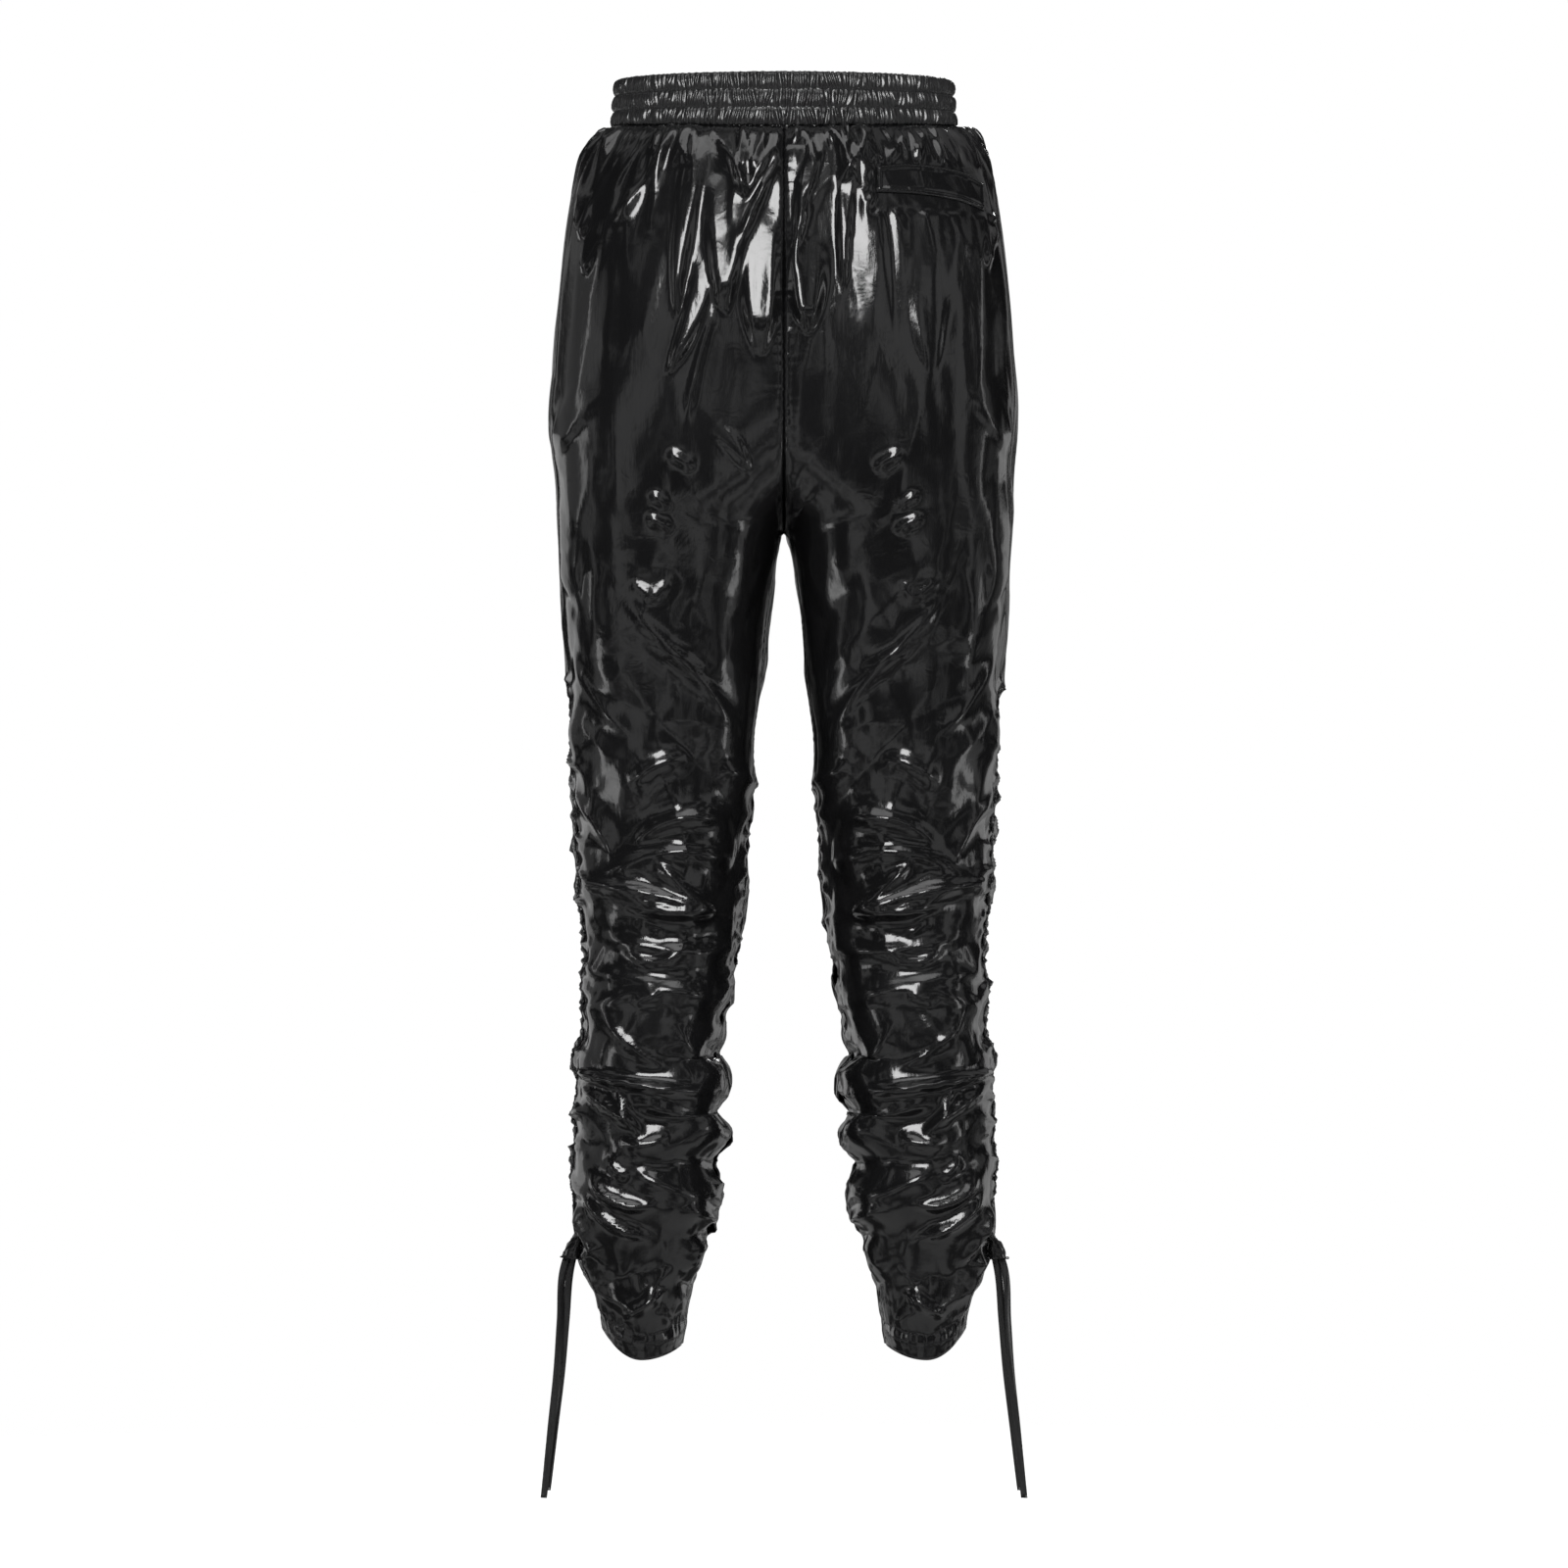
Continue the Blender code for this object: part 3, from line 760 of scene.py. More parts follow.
def facet_table(width, height, cell_across, cell_down, seed):
    """Heights from -1 to 1 for each mm of a strip, flat inside each triangle."""
    random = np.random.default_rng(seed)
    columns, rows = int(width / cell_across) + 3, int(height / cell_down) + 3
    j, i = np.meshgrid(np.arange(columns), np.arange(rows))
    across_at = j - 1 + 0.5 * (i % 2) + random.uniform(-FACET_STRAY, FACET_STRAY, j.shape)
    across_at = across_at.ravel() * cell_across
    down_at = (i - 1 + random.uniform(-FACET_STRAY, FACET_STRAY, i.shape)).ravel() * cell_down
    level = random.uniform(-1, 1, across_at.size)
    stretch = cell_across / cell_down
    flat = [Vector((a, d * stretch)) for a, d in zip(across_at, down_at)]
    heights = np.zeros((int(height) + 1, int(width) + 1))
    for a, b, c in delaunay_2d_cdt(flat, [], [], 0, 1e-6)[2]:
        spans = ((v[a], v[b], v[c]) for v in (down_at, across_at))
        (top, foot), (left, right) = ((max(0, math.ceil(min(span))), min(n - 1, int(max(span))))
                                      for span, n in zip(spans, heights.shape))
        bx, by = across_at[b] - across_at[a], down_at[b] - down_at[a]
        cx, cy = across_at[c] - across_at[a], down_at[c] - down_at[a]
        area = bx * cy - cx * by
        if top > foot or left > right or abs(area) < TINY:
            continue
        y, x = np.mgrid[top:foot + 1, left:right + 1]
        px, py = x - across_at[a], y - down_at[a]
        to_b, to_c = (px * cy - cx * py) / area, (bx * py - px * by) / area
        inside = (to_b >= 0) & (to_c >= 0) & (to_b + to_c <= 1)
        value = level[a] * (1 - to_b - to_c) + level[b] * to_b + level[c] * to_c
        heights[top:foot + 1, left:right + 1][inside] = value[inside]
    return heights


def read_table(heights, across_mm, down_mm):
    """The table read between its entries."""
    j = np.clip(across_mm, 0, heights.shape[1] - 1.001)
    i = np.clip(down_mm, 0, heights.shape[0] - 1.001)
    j0, i0 = j.astype(int), i.astype(int)
    tj, ti = j - j0, i - i0
    return ((heights[i0, j0] * (1 - tj) + heights[i0, j0 + 1] * tj) * (1 - ti)
            + (heights[i0 + 1, j0] * (1 - tj) + heights[i0 + 1, j0 + 1] * tj) * ti)


Facets = namedtuple("Facets", "across down height start full fade end lean")
FACETS = table(
    Facets,
    # the trunk: long upright facets below the waistband, then calm cloth
    (24, 66, 1.6, 20, 50, 190, 300, 0),
    (8, 34, 0.4, 20, 45, 150, 240, 0),
    (52, 58, 3.4, 160, 260, 440, 520, 0.3),
    # the upper leg: facets as wide as they are long
    (40, 44, 5, 430, 520, 620, 720, 0.25),
    (18, 20, 1.1, 320, 430, 760, 900, -0.3),
    # the gathered leg: long level ones
    (48, 27, 2.4, 540, 620, 890, 940, 0.42),
    (28, 14, 1, 540, 640, 900, 950, -0.2),
    # below the channel: small and calm
    (30, 28, 4.2, 870, 930, 995, 1013, 0.3),
    (16, 15, 1.1, 880, 930, 990, 1010, -0.2),
)
STRIP_HALF = 330  # mm of cloth on each side of the side seam
STRIP_LENGTH = 1100
LEAN_SPARE = (400, 660)  # mm that a table is larger for each unit of lean
LEAN_SHIFT = (60, 200)  # how far into it the strip lies then
LEAN_CENTRE = 550  # the drop that leaning leaves in place
LEAN_ACROSS = 0.3  # how much of the lean goes across
OWN_ABOVE = 300  # kinds that start above this drop differ on the two sides
UNDER_BAND = 100  # kinds that start above this one fade at the side seam
SIDE_CALM = (20, 70)  # the distances from the side seam between which they do
SIDE_REST = 0.2  # and what is left of them at the seam
CENTRE_FREE = 14  # mm from the centre seam and the inseam to the full height
INSEAM_CALM = 45  # and under the crotch
CALM_DROP, CALM_REACH = 440, 110


def facet_heights(grid, side):
    """The summed height of all kinds of facets at every point."""
    lengths = lengths_along(grid)
    from_seam = lengths - lengths[:, MIDDLE][:, None]
    down_mm = -grid[:, :, 2]
    total = np.zeros(down_mm.shape)
    for number, kind in enumerate(FACETS):
        lean = abs(kind.lean)
        seed = SEEDS["facets"] + 2 * number + (side < 0 and kind.start < OWN_ABOVE)
        heights = facet_table(2 * STRIP_HALF + LEAN_SPARE[0] * lean, STRIP_LENGTH + LEAN_SPARE[1] * lean,
                              kind.across, kind.down, seed)
        share = ramp(down_mm, kind.start, kind.full) * (1 - ramp(down_mm, kind.fade, kind.end))
        if kind.start < UNDER_BAND:
            share = share * (SIDE_REST + (1 - SIDE_REST) * ramp(np.abs(from_seam), *SIDE_CALM))
        a = from_seam + STRIP_HALF + kind.lean * (down_mm - LEAN_CENTRE) * LEAN_ACROSS
        d = down_mm + kind.lean * from_seam
        total += kind.height * share * read_table(heights, a + LEAN_SHIFT[0] * lean, d + LEAN_SHIFT[1] * lean)
    held = centre_distance(grid)
    calm = 1 - (1 - ramp(held, 0, INSEAM_CALM)) * bell(down_mm - CALM_DROP, CALM_REACH)
    return total * ramp(held, 0, CENTRE_FREE) * calm


# %% Gathers under the waistband
GATHERS = 80  # on each side of the body
GATHER_START = 37  # the drop of the waistband's seam
GATHER_MARGIN = 2  # mm free of them at each end of the seam
GATHER_LENGTHS = (20, 28, 40, 60, 90)
GATHER_LEAN = (-0.45, 0.45)
GATHER_HEIGHT = (1.8, 4.4)
GATHER_HALF_WIDTH = (1.7, 3.8)
STRAIGHTENING = 0.4  # how much of its lean a gather loses down its length
GATHER_FADE = 0.8  # below 1, a gather keeps its height for longer
GROOVE_DEPTH, GROOVE_REACH = 1.2, 10  # where the cloth turns into the seam


def gather_heights(grid, side):
    """Short pleats that start in the waistband's seam and die out down the cloth."""
    random = np.random.default_rng(SEEDS["gathers"] + side)
    lengths = lengths_along(grid)
    seam_length = lengths[0, -1]
    around = lengths / lengths[:, -1:] * seam_length
    below = -grid[:, :, 2] - GATHER_START
    total = np.zeros(below.shape)
    for _ in range(GATHERS):
        start = random.uniform(GATHER_MARGIN, seam_length - GATHER_MARGIN)
        length = random.choice(GATHER_LENGTHS)
        lean, height = random.uniform(*GATHER_LEAN), random.uniform(*GATHER_HEIGHT)
        half_width = random.uniform(*GATHER_HALF_WIDTH)
        place = np.clip(below / length, 0, 1.2)
        aside = around - start - lean * below * (1 - STRAIGHTENING * place)
        total += height * (1 - place).clip(0, 1) ** GATHER_FADE * crest(aside, half_width)
    return total - GROOVE_DEPTH * bell(below, GROOVE_REACH)


# %% Gathers beside the cord channel and the inseam
SeamGathers = namedtuple("SeamGathers", "count start end length half_width height")
BESIDE_CHANNEL = SeamGathers(44, 478, 935, (14, 55), (2.2, 4.6), (2.0, 5.0))
BESIDE_INSEAM = SeamGathers(22, 560, 925, (12, 40), (3.0, 6.0), (1.5, 3.5))
SEAM_GATHER_STRAY = (-7, 7)  # mm from its place in the row
SEAM_GATHER_LEAN = (-0.35, 0.55)
SEAM_GATHER_FADE = 0.7
LEVELLING = 0.3  # the share of the lean that is lost over LEVELLING_REACH
LEVELLING_REACH = 60


def seam_gathers(grid, side):
    """Pleats that start in the outer seam or the inseam, where the leg is drawn up."""
    random = np.random.default_rng(SEEDS["beside seams"] + side)
    drop = -grid[:, :, 2]
    total = np.zeros(drop.shape)
    for kind, seam, there in (
            (BESIDE_CHANNEL, MIDDLE, ON_BACK), (BESIDE_CHANNEL, MIDDLE, ~ON_BACK),
            (BESIDE_INSEAM, 0, ON_BACK), (BESIDE_INSEAM, -1, ~ON_BACK)):
        away = seam_distance(grid, seam)
        for place in np.linspace(kind.start, kind.end, kind.count):
            start = place + random.uniform(*SEAM_GATHER_STRAY)
            length, half_width = random.uniform(*kind.length), random.uniform(*kind.half_width)
            lean, height = random.uniform(*SEAM_GATHER_LEAN), random.uniform(*kind.height)
            aside = drop - start - lean * away * (1 - LEVELLING * away / LEVELLING_REACH)
            share = (1 - away / length).clip(0, 1) ** SEAM_GATHER_FADE
            total += np.where(there, height * share * crest(aside, half_width), 0)
    return total


# %% Slow unevenness and the placed folds
WAVES = 1.2  # height of the slow unevenness
WAIST_WAVES = 0.6  # the share of it on the trunk
SEAT_CALMING = 0.6  # and how much of that is lost towards the seat
LEG_WAVES_FROM = (520, 640)
SEAT_CALM_FROM = (150, 300)
LEG_CELL = (6, 18)  # rows and columns to one cell of the noise
WAIST_CELL = (28, 4)
LEG_SHARE = 1.4  # how much higher the folds of the legs are than their tables say
SIDE_FREE = (2, 30)  # mm from the side seam between which placed folds rise


def slow_waves(grid, side):
    rows, columns = grid.shape[:2]
    legs, waist = (smooth_noise((rows, columns), (rows // down, columns // along), SEEDS[name] + side)
                   for (down, along), name in ((LEG_CELL, "legs"), (WAIST_CELL, "waist")))
    drop = -grid[:, :, 2]
    on_leg = ramp(drop, *LEG_WAVES_FROM)
    calm = 1 - SEAT_CALMING * ramp(drop, *SEAT_CALM_FROM)
    return WAVES * (legs * on_leg + WAIST_WAVES * waist * (1 - on_leg) * calm)


def placed_folds(grid, side):
    x, drop = grid[:, :, 0], -grid[:, :, 2]
    back, front = (
        fold_heights(trunk_folds, side * x, drop, hanging=True) + LEG_SHARE * fold_heights(leg_folds, x, drop)
        for trunk_folds, leg_folds in ((SEAT_LEFT if side > 0 else SEAT_RIGHT, LEG_BACK),
                                       (FRONT_LEFT if side > 0 else FRONT_RIGHT, LEG_FRONT)))
    return np.where(ON_BACK, back, front) * ramp(seam_distance(grid, MIDDLE), *SIDE_FREE)


# %% Puckers along the seams and the hem, and what holds the cloth
SeamPuckers = namedtuple("SeamPuckers", "column pitch height more_on_leg wider_on_leg")
SEAM_PUCKERS = table(
    SeamPuckers,
    (0, 5.5, 1.3, 0, 0),
    (MIDDLE, 6.5, 0.6, 1.8, 1.6),
    (-1, 5.5, 1.3, 0, 0),
)
CHANNEL_ROWS = ((480, 540), (935, 950))  # the drops between which a channel begins and ends
SEAM_REACH = 5.0  # how far from a seam its puckers go
SEAM_DEPTH, SEAM_WIDTH = 1.1, 1.8
HEM_DEPTH = 20.0  # the stitched line above the hem
HEM_PUCKER, HEM_PITCH = 0.6, 6.0
HEM_PUCKER_DOWN, HEM_PUCKER_REACH = 3, 9.0  # mm under the line where they are highest
HEM_GROOVE, HEM_GROOVE_WIDTH = 0.6, 1.7


def add_puckers(grid, drop_rows, side):
    """The grid with ripples along its seams and its hem, and a groove at each."""
    height = np.zeros(grid.shape[:2])
    on_leg = ramp(drop_rows, *CHANNEL_ROWS[0]) * (1 - ramp(drop_rows, *CHANNEL_ROWS[1]))
    for number, seam in enumerate(SEAM_PUCKERS):
        along = lengths_of(grid[:, seam.column])
        away = seam_distance(grid, seam.column)
        ripple = puckers_at(along, along[-1], seam.pitch, SEEDS["seams"] + number + side)
        strength = seam.height * (1 + seam.more_on_leg * on_leg)
        reach = SEAM_REACH * (1 + seam.wider_on_leg * on_leg)
        height += (strength * ripple)[:, None] * np.exp(-away / reach[:, None])
        height -= SEAM_DEPTH * bell(away, SEAM_WIDTH)
    above_line = heights_above_hem(grid) - HEM_DEPTH
    around = lengths_of(grid[-1])
    ripple = puckers_at(around, around[-1], HEM_PITCH, SEEDS["hem"] + side)
    height += HEM_PUCKER * ripple[None, :] * bell(above_line + HEM_PUCKER_DOWN, HEM_PUCKER_REACH)
    height -= HEM_GROOVE * bell(above_line, HEM_GROOVE_WIDTH)
    return grid + grid_normals(grid) * height[:, :, None]


SIDE_HOLD, CENTRE_HOLD = 9, 10  # mm from a seam to where the cloth is free
SIDE_HELD_FROM = (470, 520)
CROTCH_MARGIN = (15, 10)  # mm above and below it over which the centre seam lets go
BAND_HOLD = (37, 43)
HEM_HOLD, HEM_HELD = (1000, 1012), 0.8
WELT_BOX = (-157.0, -72.0, 73.0, 109.0)  # x from, x to, drop from, drop to
WELT_MARGIN = 5.0
UNDER_WELT = 0.15  # how free the cloth under the welt is


def hold(grid, drop_rows, side):
    """1 where the cloth is free and 0 where a seam or the welt holds it."""
    rows = drop_rows[:, None]
    free = 1 - (1 - ramp(seam_distance(grid, MIDDLE), 0, SIDE_HOLD)) * ramp(rows, *SIDE_HELD_FROM)
    in_trunk = 1 - ramp(rows, CROTCH - CROTCH_MARGIN[0], CROTCH + CROTCH_MARGIN[1])
    free = free * (1 - (1 - ramp(centre_distance(grid), 0, CENTRE_HOLD)) * in_trunk)
    free = free * ramp(rows, *BAND_HOLD) * (1 - ramp(rows, *HEM_HOLD) * HEM_HELD)
    if side < 0:
        x, drop = grid[:, :, 0], -grid[:, :, 2]
        near = np.maximum.reduce([
            WELT_BOX[0] + x, -x - WELT_BOX[1], WELT_BOX[2] - drop, drop - WELT_BOX[3]])
        under = UNDER_WELT + (1 - UNDER_WELT) * ramp(near, 0, WELT_MARGIN)
        free = np.where(ON_BACK, free * under, free)
    return free


# %% Cut the sides into panels
CLOTH_WALL = 0.7
fine_form = refine(refine(form, 0), 1)
drop_rows = refine(drops[:, None], 0)[:, 0]
panels = {}
fine_sides = {}
for side, side_name in SIDES:
    height = sum(part(fine_form, side) for part in (
        slow_waves, placed_folds, facet_heights, gather_heights, seam_gathers))
    free = hold(fine_form, drop_rows, side)
    fine = fine_form + grid_normals(fine_form) * (height * free)[:, :, None]
    fine = add_puckers(fine, drop_rows, side)
    fine[drop_rows < CROTCH, 0, 0] = fine[drop_rows < CROTCH, -1, 0] = SEAM_HALF_GAP
    fine_sides[side] = fine
    placed = fine * np.array([side, 1, 1])
    for face, columns in (("back", slice(0, MIDDLE + 1)), ("front", slice(MIDDLE, None))):
        node = f"{face}_{side_name}"
        piece = shell_mesh(node + "_cloth", placed[:, columns], CLOTH_WALL, flip=side < 0)
        on_root(piece, node)
        panels[node] = piece
        print(node, len(piece.data.polygons), "faces")
print("panels done")


# %% [markdown]
# ## The waistband
#
# Three narrow elastics run inside one folded strip, between rows of stitching that
# gather it into hundreds of small upright puckers. Each channel swells, and its
# puckers don't line up with its neighbour's. Bump alone would leave the edge of the
# band smooth, so the puckers are real: a fine ring whose points move out by a table
# of random puckers read at each place round it.

# %% Waistband
BAND_TOP = (132.3, 96.0, 92.0)  # half width, back depth, front depth
BAND_FOOT = (135.8, 100.0, 95.5)
BAND_CHANNELS = 3
BAND_COLUMNS = 1300
BAND_ROWS = 37
BAND_WALL = 1.2
BAND_BULGE = 1.7
BAND_SWELL = 0.55  # below 1, a channel is fuller than half a wave
PUCKER_PITCH = 3.4
PUCKER_HEIGHT = 2.6
PUCKER_LEAST = 0.25  # the share of it that is left on the stitched rows
READINGS = 4  # to a mm, in the tables of puckers
BAND_PUCKERS = ((1.0, 0), (0.8, 7), (0.8, 3))  # size and shift of the whole, upper and lower ones
HALF_PUCKERS = 0.4  # the height of those that cross only a part of a channel
BAND_LEAN, LEAN_CELLS = 4, 90  # mm that a pucker leans, and how often that changes
UPPER_END, LOWER_START = (0.3, 0.75), (0.25, 0.7)
SCALLOP, SCALLOP_PITCH, SCALLOP_FADE = 0.5, 5, 0.12  # the unevenness of the top edge


def periodic(values, at):
    return np.interp(np.mod(at, len(values)), np.arange(len(values) + 1), np.append(values, values[0]))


def band_grid():
    share = np.linspace(0, 1, BAND_ROWS)[:, None]
    turn = -np.linspace(0, 2 * math.pi, BAND_COLUMNS, endpoint=False)[None, :]
    half, back, front = (a + (b - a) * share for a, b in zip(BAND_TOP, BAND_FOOT))
    centre_y = (back - front) / 2
    depth = np.where(np.sin(turn) > 0, back - centre_y, front + centre_y)
    round_band = 2 * math.pi * math.sqrt((BAND_FOOT[0] ** 2 + BAND_FOOT[1] ** 2) / 2) * READINGS
    along = -turn / (2 * math.pi) * round_band
    channel = np.minimum((share * BAND_CHANNELS).astype(int), BAND_CHANNELS - 1)
    local = share * BAND_CHANNELS - channel
    swell = np.abs(np.sin(math.pi * local)) ** BAND_SWELL
    out = np.zeros((BAND_ROWS, BAND_COLUMNS))
    for number in range(BAND_CHANNELS):
        lean = smooth_noise((1, int(round_band)), (1, LEAN_CELLS), SEEDS["lean"] + number)[0]
        lean = periodic(BAND_LEAN * lean, along)
        moved = along + lean * READINGS * (local - 0.5)
        whole, upper, lower = (
            periodic(puckers(round_band, PUCKER_PITCH * READINGS * size, SEEDS["band"] + 5 * number + k),
                     moved + shift)
            for k, (size, shift) in enumerate(BAND_PUCKERS))
        upper = upper * (1 - ramp(local, *UPPER_END))
        lower = lower * ramp(local, *LOWER_START)
        ripple = PUCKER_HEIGHT * (whole + HALF_PUCKERS * (upper + lower))
        ripple = ripple * (PUCKER_LEAST + (1 - PUCKER_LEAST) * swell)
        out += np.where(channel == number, BAND_BULGE * swell + ripple * ramp(swell, 0, 0.5), 0)
    scallop = SCALLOP * periodic(puckers(round_band, PUCKER_PITCH * SCALLOP_PITCH, SEEDS["top edge"]), along)
    dip = BAND_DIP * np.sin(turn) ** 2 * share
    z = -share * BAND_DEPTH - dip + scallop * (1 - ramp(share, 0, SCALLOP_FADE))
    return np.stack([(half + out) * np.cos(turn), centre_y + (depth + out) * np.sin(turn), z], axis=-1)


band = band_grid()
waistband = shell_mesh("waistband_cloth", band, BAND_WALL, closed=True)
on_root(waistband, "waistband")
print("waistband", len(waistband.data.polygons), "faces")


# %% [markdown]
# ## The cord channels
#
# A narrow tunnel is sewn over the outer seam of each lower leg. The ties inside it
# have drawn it up, so it is a string of small tight gathers, and its loose lower end
# flares away from the leg. It is made from the two panels' own points on both sides
# of the seam, moved out, so it can't sink into the cloth under it.

# %% Cord channels
CHANNEL_TOP, CHANNEL_END = 470.0, 941.0
CHANNEL_HALF = 7.5
CHANNEL_WIDER = 0.25  # how much wider it is at its flared end
CHANNEL_WANDER, WANDER_CELLS = 0.5, 60  # mm that its width varies, and how often
CHANNEL_COLUMNS = 15
CHANNEL_ROW = 1.3
CHANNEL_WALL = 0.5
CHANNEL_CLEARANCE = 0.4
CHANNEL_PUFF = 1.4
CHANNEL_RISE = 90  # mm over which its gathers grow from FIRST_GATHERS
FIRST_GATHERS = 0.2
BIG_GATHER, BIG_PITCH = 3.4, 7.0
SMALL_GATHER, SMALL_PITCH = 1.3, 4.0
FLAP_GATHERS = 0.6  # how much of the big ones is lost on the flared end
GATHER_SLANT, SLANT_CELLS = 3.0, 40
FLAP_LENGTH = 36.0
FLAP_REACH = 17.0
NEAR_SEAM = 5  # fine columns read on each side of the seam
FOOT_SMOOTHING, OUT_SMOOTHING = 4, 8  # passes over the cloth under it, and its directions


def build_channel(side, side_name):
    wanted = np.arange(CHANNEL_TOP, CHANNEL_END + 0.1, CHANNEL_ROW)
    row = np.interp(wanted, drop_rows, np.arange(len(drop_rows)))
    strip = fine_sides[side][:, MIDDLE - NEAR_SEAM:MIDDLE + NEAR_SEAM + 1]
    low = np.floor(row).astype(int)
    part = (row - low)[:, None, None]
    strip = strip[low] * (1 - part) + strip[np.minimum(low + 1, len(strip) - 1)] * part
    signs = np.sign(np.arange(2 * NEAR_SEAM + 1) - NEAR_SEAM)
    distance = seam_distance(strip, NEAR_SEAM) * signs
    flap = ramp(wanted, CHANNEL_END - FLAP_LENGTH, CHANNEL_END)
    wander = smooth_noise((1, len(wanted)), (1, WANDER_CELLS), SEEDS["width"] + side)[0]
    reach = CHANNEL_HALF * (1 + CHANNEL_WIDER * flap) + CHANNEL_WANDER * wander
    place = np.linspace(-1, 1, CHANNEL_COLUMNS)
    base = [read_path(place * reach[i], distance[i], strip[i]) for i in range(len(wanted))]
    base = smooth_rows(np.array(base), FOOT_SMOOTHING)
    out = unit(smooth_rows(grid_normals(base)[:, CHANNEL_COLUMNS // 2], OUT_SMOOTHING))
    slant = GATHER_SLANT * smooth_noise((len(wanted), 1), (SLANT_CELLS, 1), SEEDS["slant"] + side)
    along = (wanted - wanted[0])[:, None] + slant * place
    big, small = (puckers_at(along, CHANNEL_END - CHANNEL_TOP, pitch, SEEDS[size])
                  for pitch, size in ((BIG_PITCH, "big"), (SMALL_PITCH, "small")))
    flap = flap[:, None]
    grown = ramp(wanted, CHANNEL_TOP, CHANNEL_TOP + CHANNEL_RISE)[:, None]
    height = CHANNEL_PUFF + BIG_GATHER * big * (1 - FLAP_GATHERS * flap) + SMALL_GATHER * small
    height = height * np.sqrt(1 - place ** 2) * (FIRST_GATHERS + (1 - FIRST_GATHERS) * grown)
    height = CHANNEL_CLEARANCE + height + FLAP_REACH * flap * (1 - np.abs(place) ** 3)
    placed = (base + out[:, None, :] * height[:, :, None]) * np.array([side, 1, 1])
    node = f"ruche_channel_{side_name}"
    piece = shell_mesh(node + "_cloth", placed, CHANNEL_WALL, flip=side < 0)
    on_root(piece, node)
    return piece, placed


channels = {}
channel_grids = {}
for side, side_name in SIDES:
    channels[side], channel_grids[side] = build_channel(side, side_name)
print("channels", [len(c.data.polygons) for c in channels.values()], "faces")


# %% [markdown]
# ## The pocket's welt
#
# The welt is a strip folded double and sewn over the pocket's cut, with a little
# tack at each end. Its outline is read off the photograph as a few heights along its
# length. Each of its points is dropped onto the right back by a ray, then moved out.

# %% Welt
WeltEdge = namedtuple("WeltEdge", "x top bottom")
WELT_EDGES = table(
    WeltEdge,
    (-72, 75.5, 96.7),
    (-95, 73, 97.2),
    (-120, 74.5, 99),
    (-140, 78, 102.5),
    (-157, 86, 108.5),
)
WELT_COLUMNS, WELT_ROWS = 90, 25
WELT_WALL = 0.9
RAY_START, NEAR_BACK = 1.0, 0.04  # metres behind the garment's middle
WELT_LIFT = 0.5
WELT_PUFF = 1.5
WELT_ROLL = 0.9  # the folded edge stands up a little from the strip
ROLL_AT, ROLL_WIDTH = 0.1, 0.06  # as shares of its depth
WELT_PROPORTION = 3.7  # how many times longer than deep it is
WELT_PUCKER, WELT_PITCH, WELT_LENGTH = 0.35, 5.0, 90
PUCKER_FADE = 0.12  # the share of its depth over which they fade from the foot


def drop_onto(piece, x, drop):
    """The point of a piece's back straight behind (x, drop), and its direction."""
    start = Vector((x * MM, RAY_START, -drop * MM))
    hit, place, normal, _ = piece.ray_cast(start, Vector((0, -1, 0)))
    if not hit:
        _, place, normal, _ = piece.closest_point_on_mesh(Vector((x * MM, NEAR_BACK, -drop * MM)))
    return place / MM, normal


def build_welt():
    back = panels["back_right"]
    keys = [-e.x for e in WELT_EDGES]
    grid = np.empty((WELT_ROWS, WELT_COLUMNS, 3))
    across_welt = np.linspace(-WELT_EDGES[-1].x, -WELT_EDGES[0].x, WELT_COLUMNS)
    ripple = puckers(WELT_LENGTH, WELT_PITCH, SEEDS["welt"])
    for j, minus_x in enumerate(across_welt):
        top = hermite(keys, [e.top for e in WELT_EDGES], minus_x)
        foot = hermite(keys, [e.bottom for e in WELT_EDGES], minus_x)
        from_end = min(j + 0.5, WELT_COLUMNS - j - 0.5) / WELT_COLUMNS * WELT_PROPORTION
        for i in range(WELT_ROWS):
            share = i / (WELT_ROWS - 1)
            place, normal = drop_onto(back, -minus_x, float(top + (foot - top) * share))
            edge = min(share, 1 - share, from_end)
            puff = WELT_PUFF * ramp(edge, 0, ROLL_AT) + WELT_ROLL * bell(edge - ROLL_AT, ROLL_WIDTH)
            puff += WELT_PUCKER * ripple[min(j, WELT_LENGTH - 1)] * math.exp((share - 1) / PUCKER_FADE)
            grid[i, j] = np.array(place + normal * (WELT_LIFT + puff))
    piece = shell_mesh("back_welt_cloth", smooth_rows(grid, 1), WELT_WALL)
    on_root(piece, "back_welt")
    return piece, grid


welt, welt_grid = build_welt()
print("welt", len(welt.data.polygons), "faces")


# %% [markdown]
# ## Stitches
#
# The seams are sewn with black thread, so the stitches only show as a fine broken
# line. Each is a tiny six-sided bead lying along its row, copied down the row by a
# loop into one mesh.

# %% Stitch rows
STITCH_PITCH = 3.2
STITCH_LENGTH = 2.3
STITCH_RADIUS = 0.28
STITCH_SIDES = 6
STITCH_RINGS = ((0.0, 0.35), (0.25, 1.0), (0.75, 1.0), (1.0, 0.35))  # place and size of each
BAND_LIFT, WELT_THREAD_LIFT = 0.2, 0.15  # mm that the rows lie above their cloth


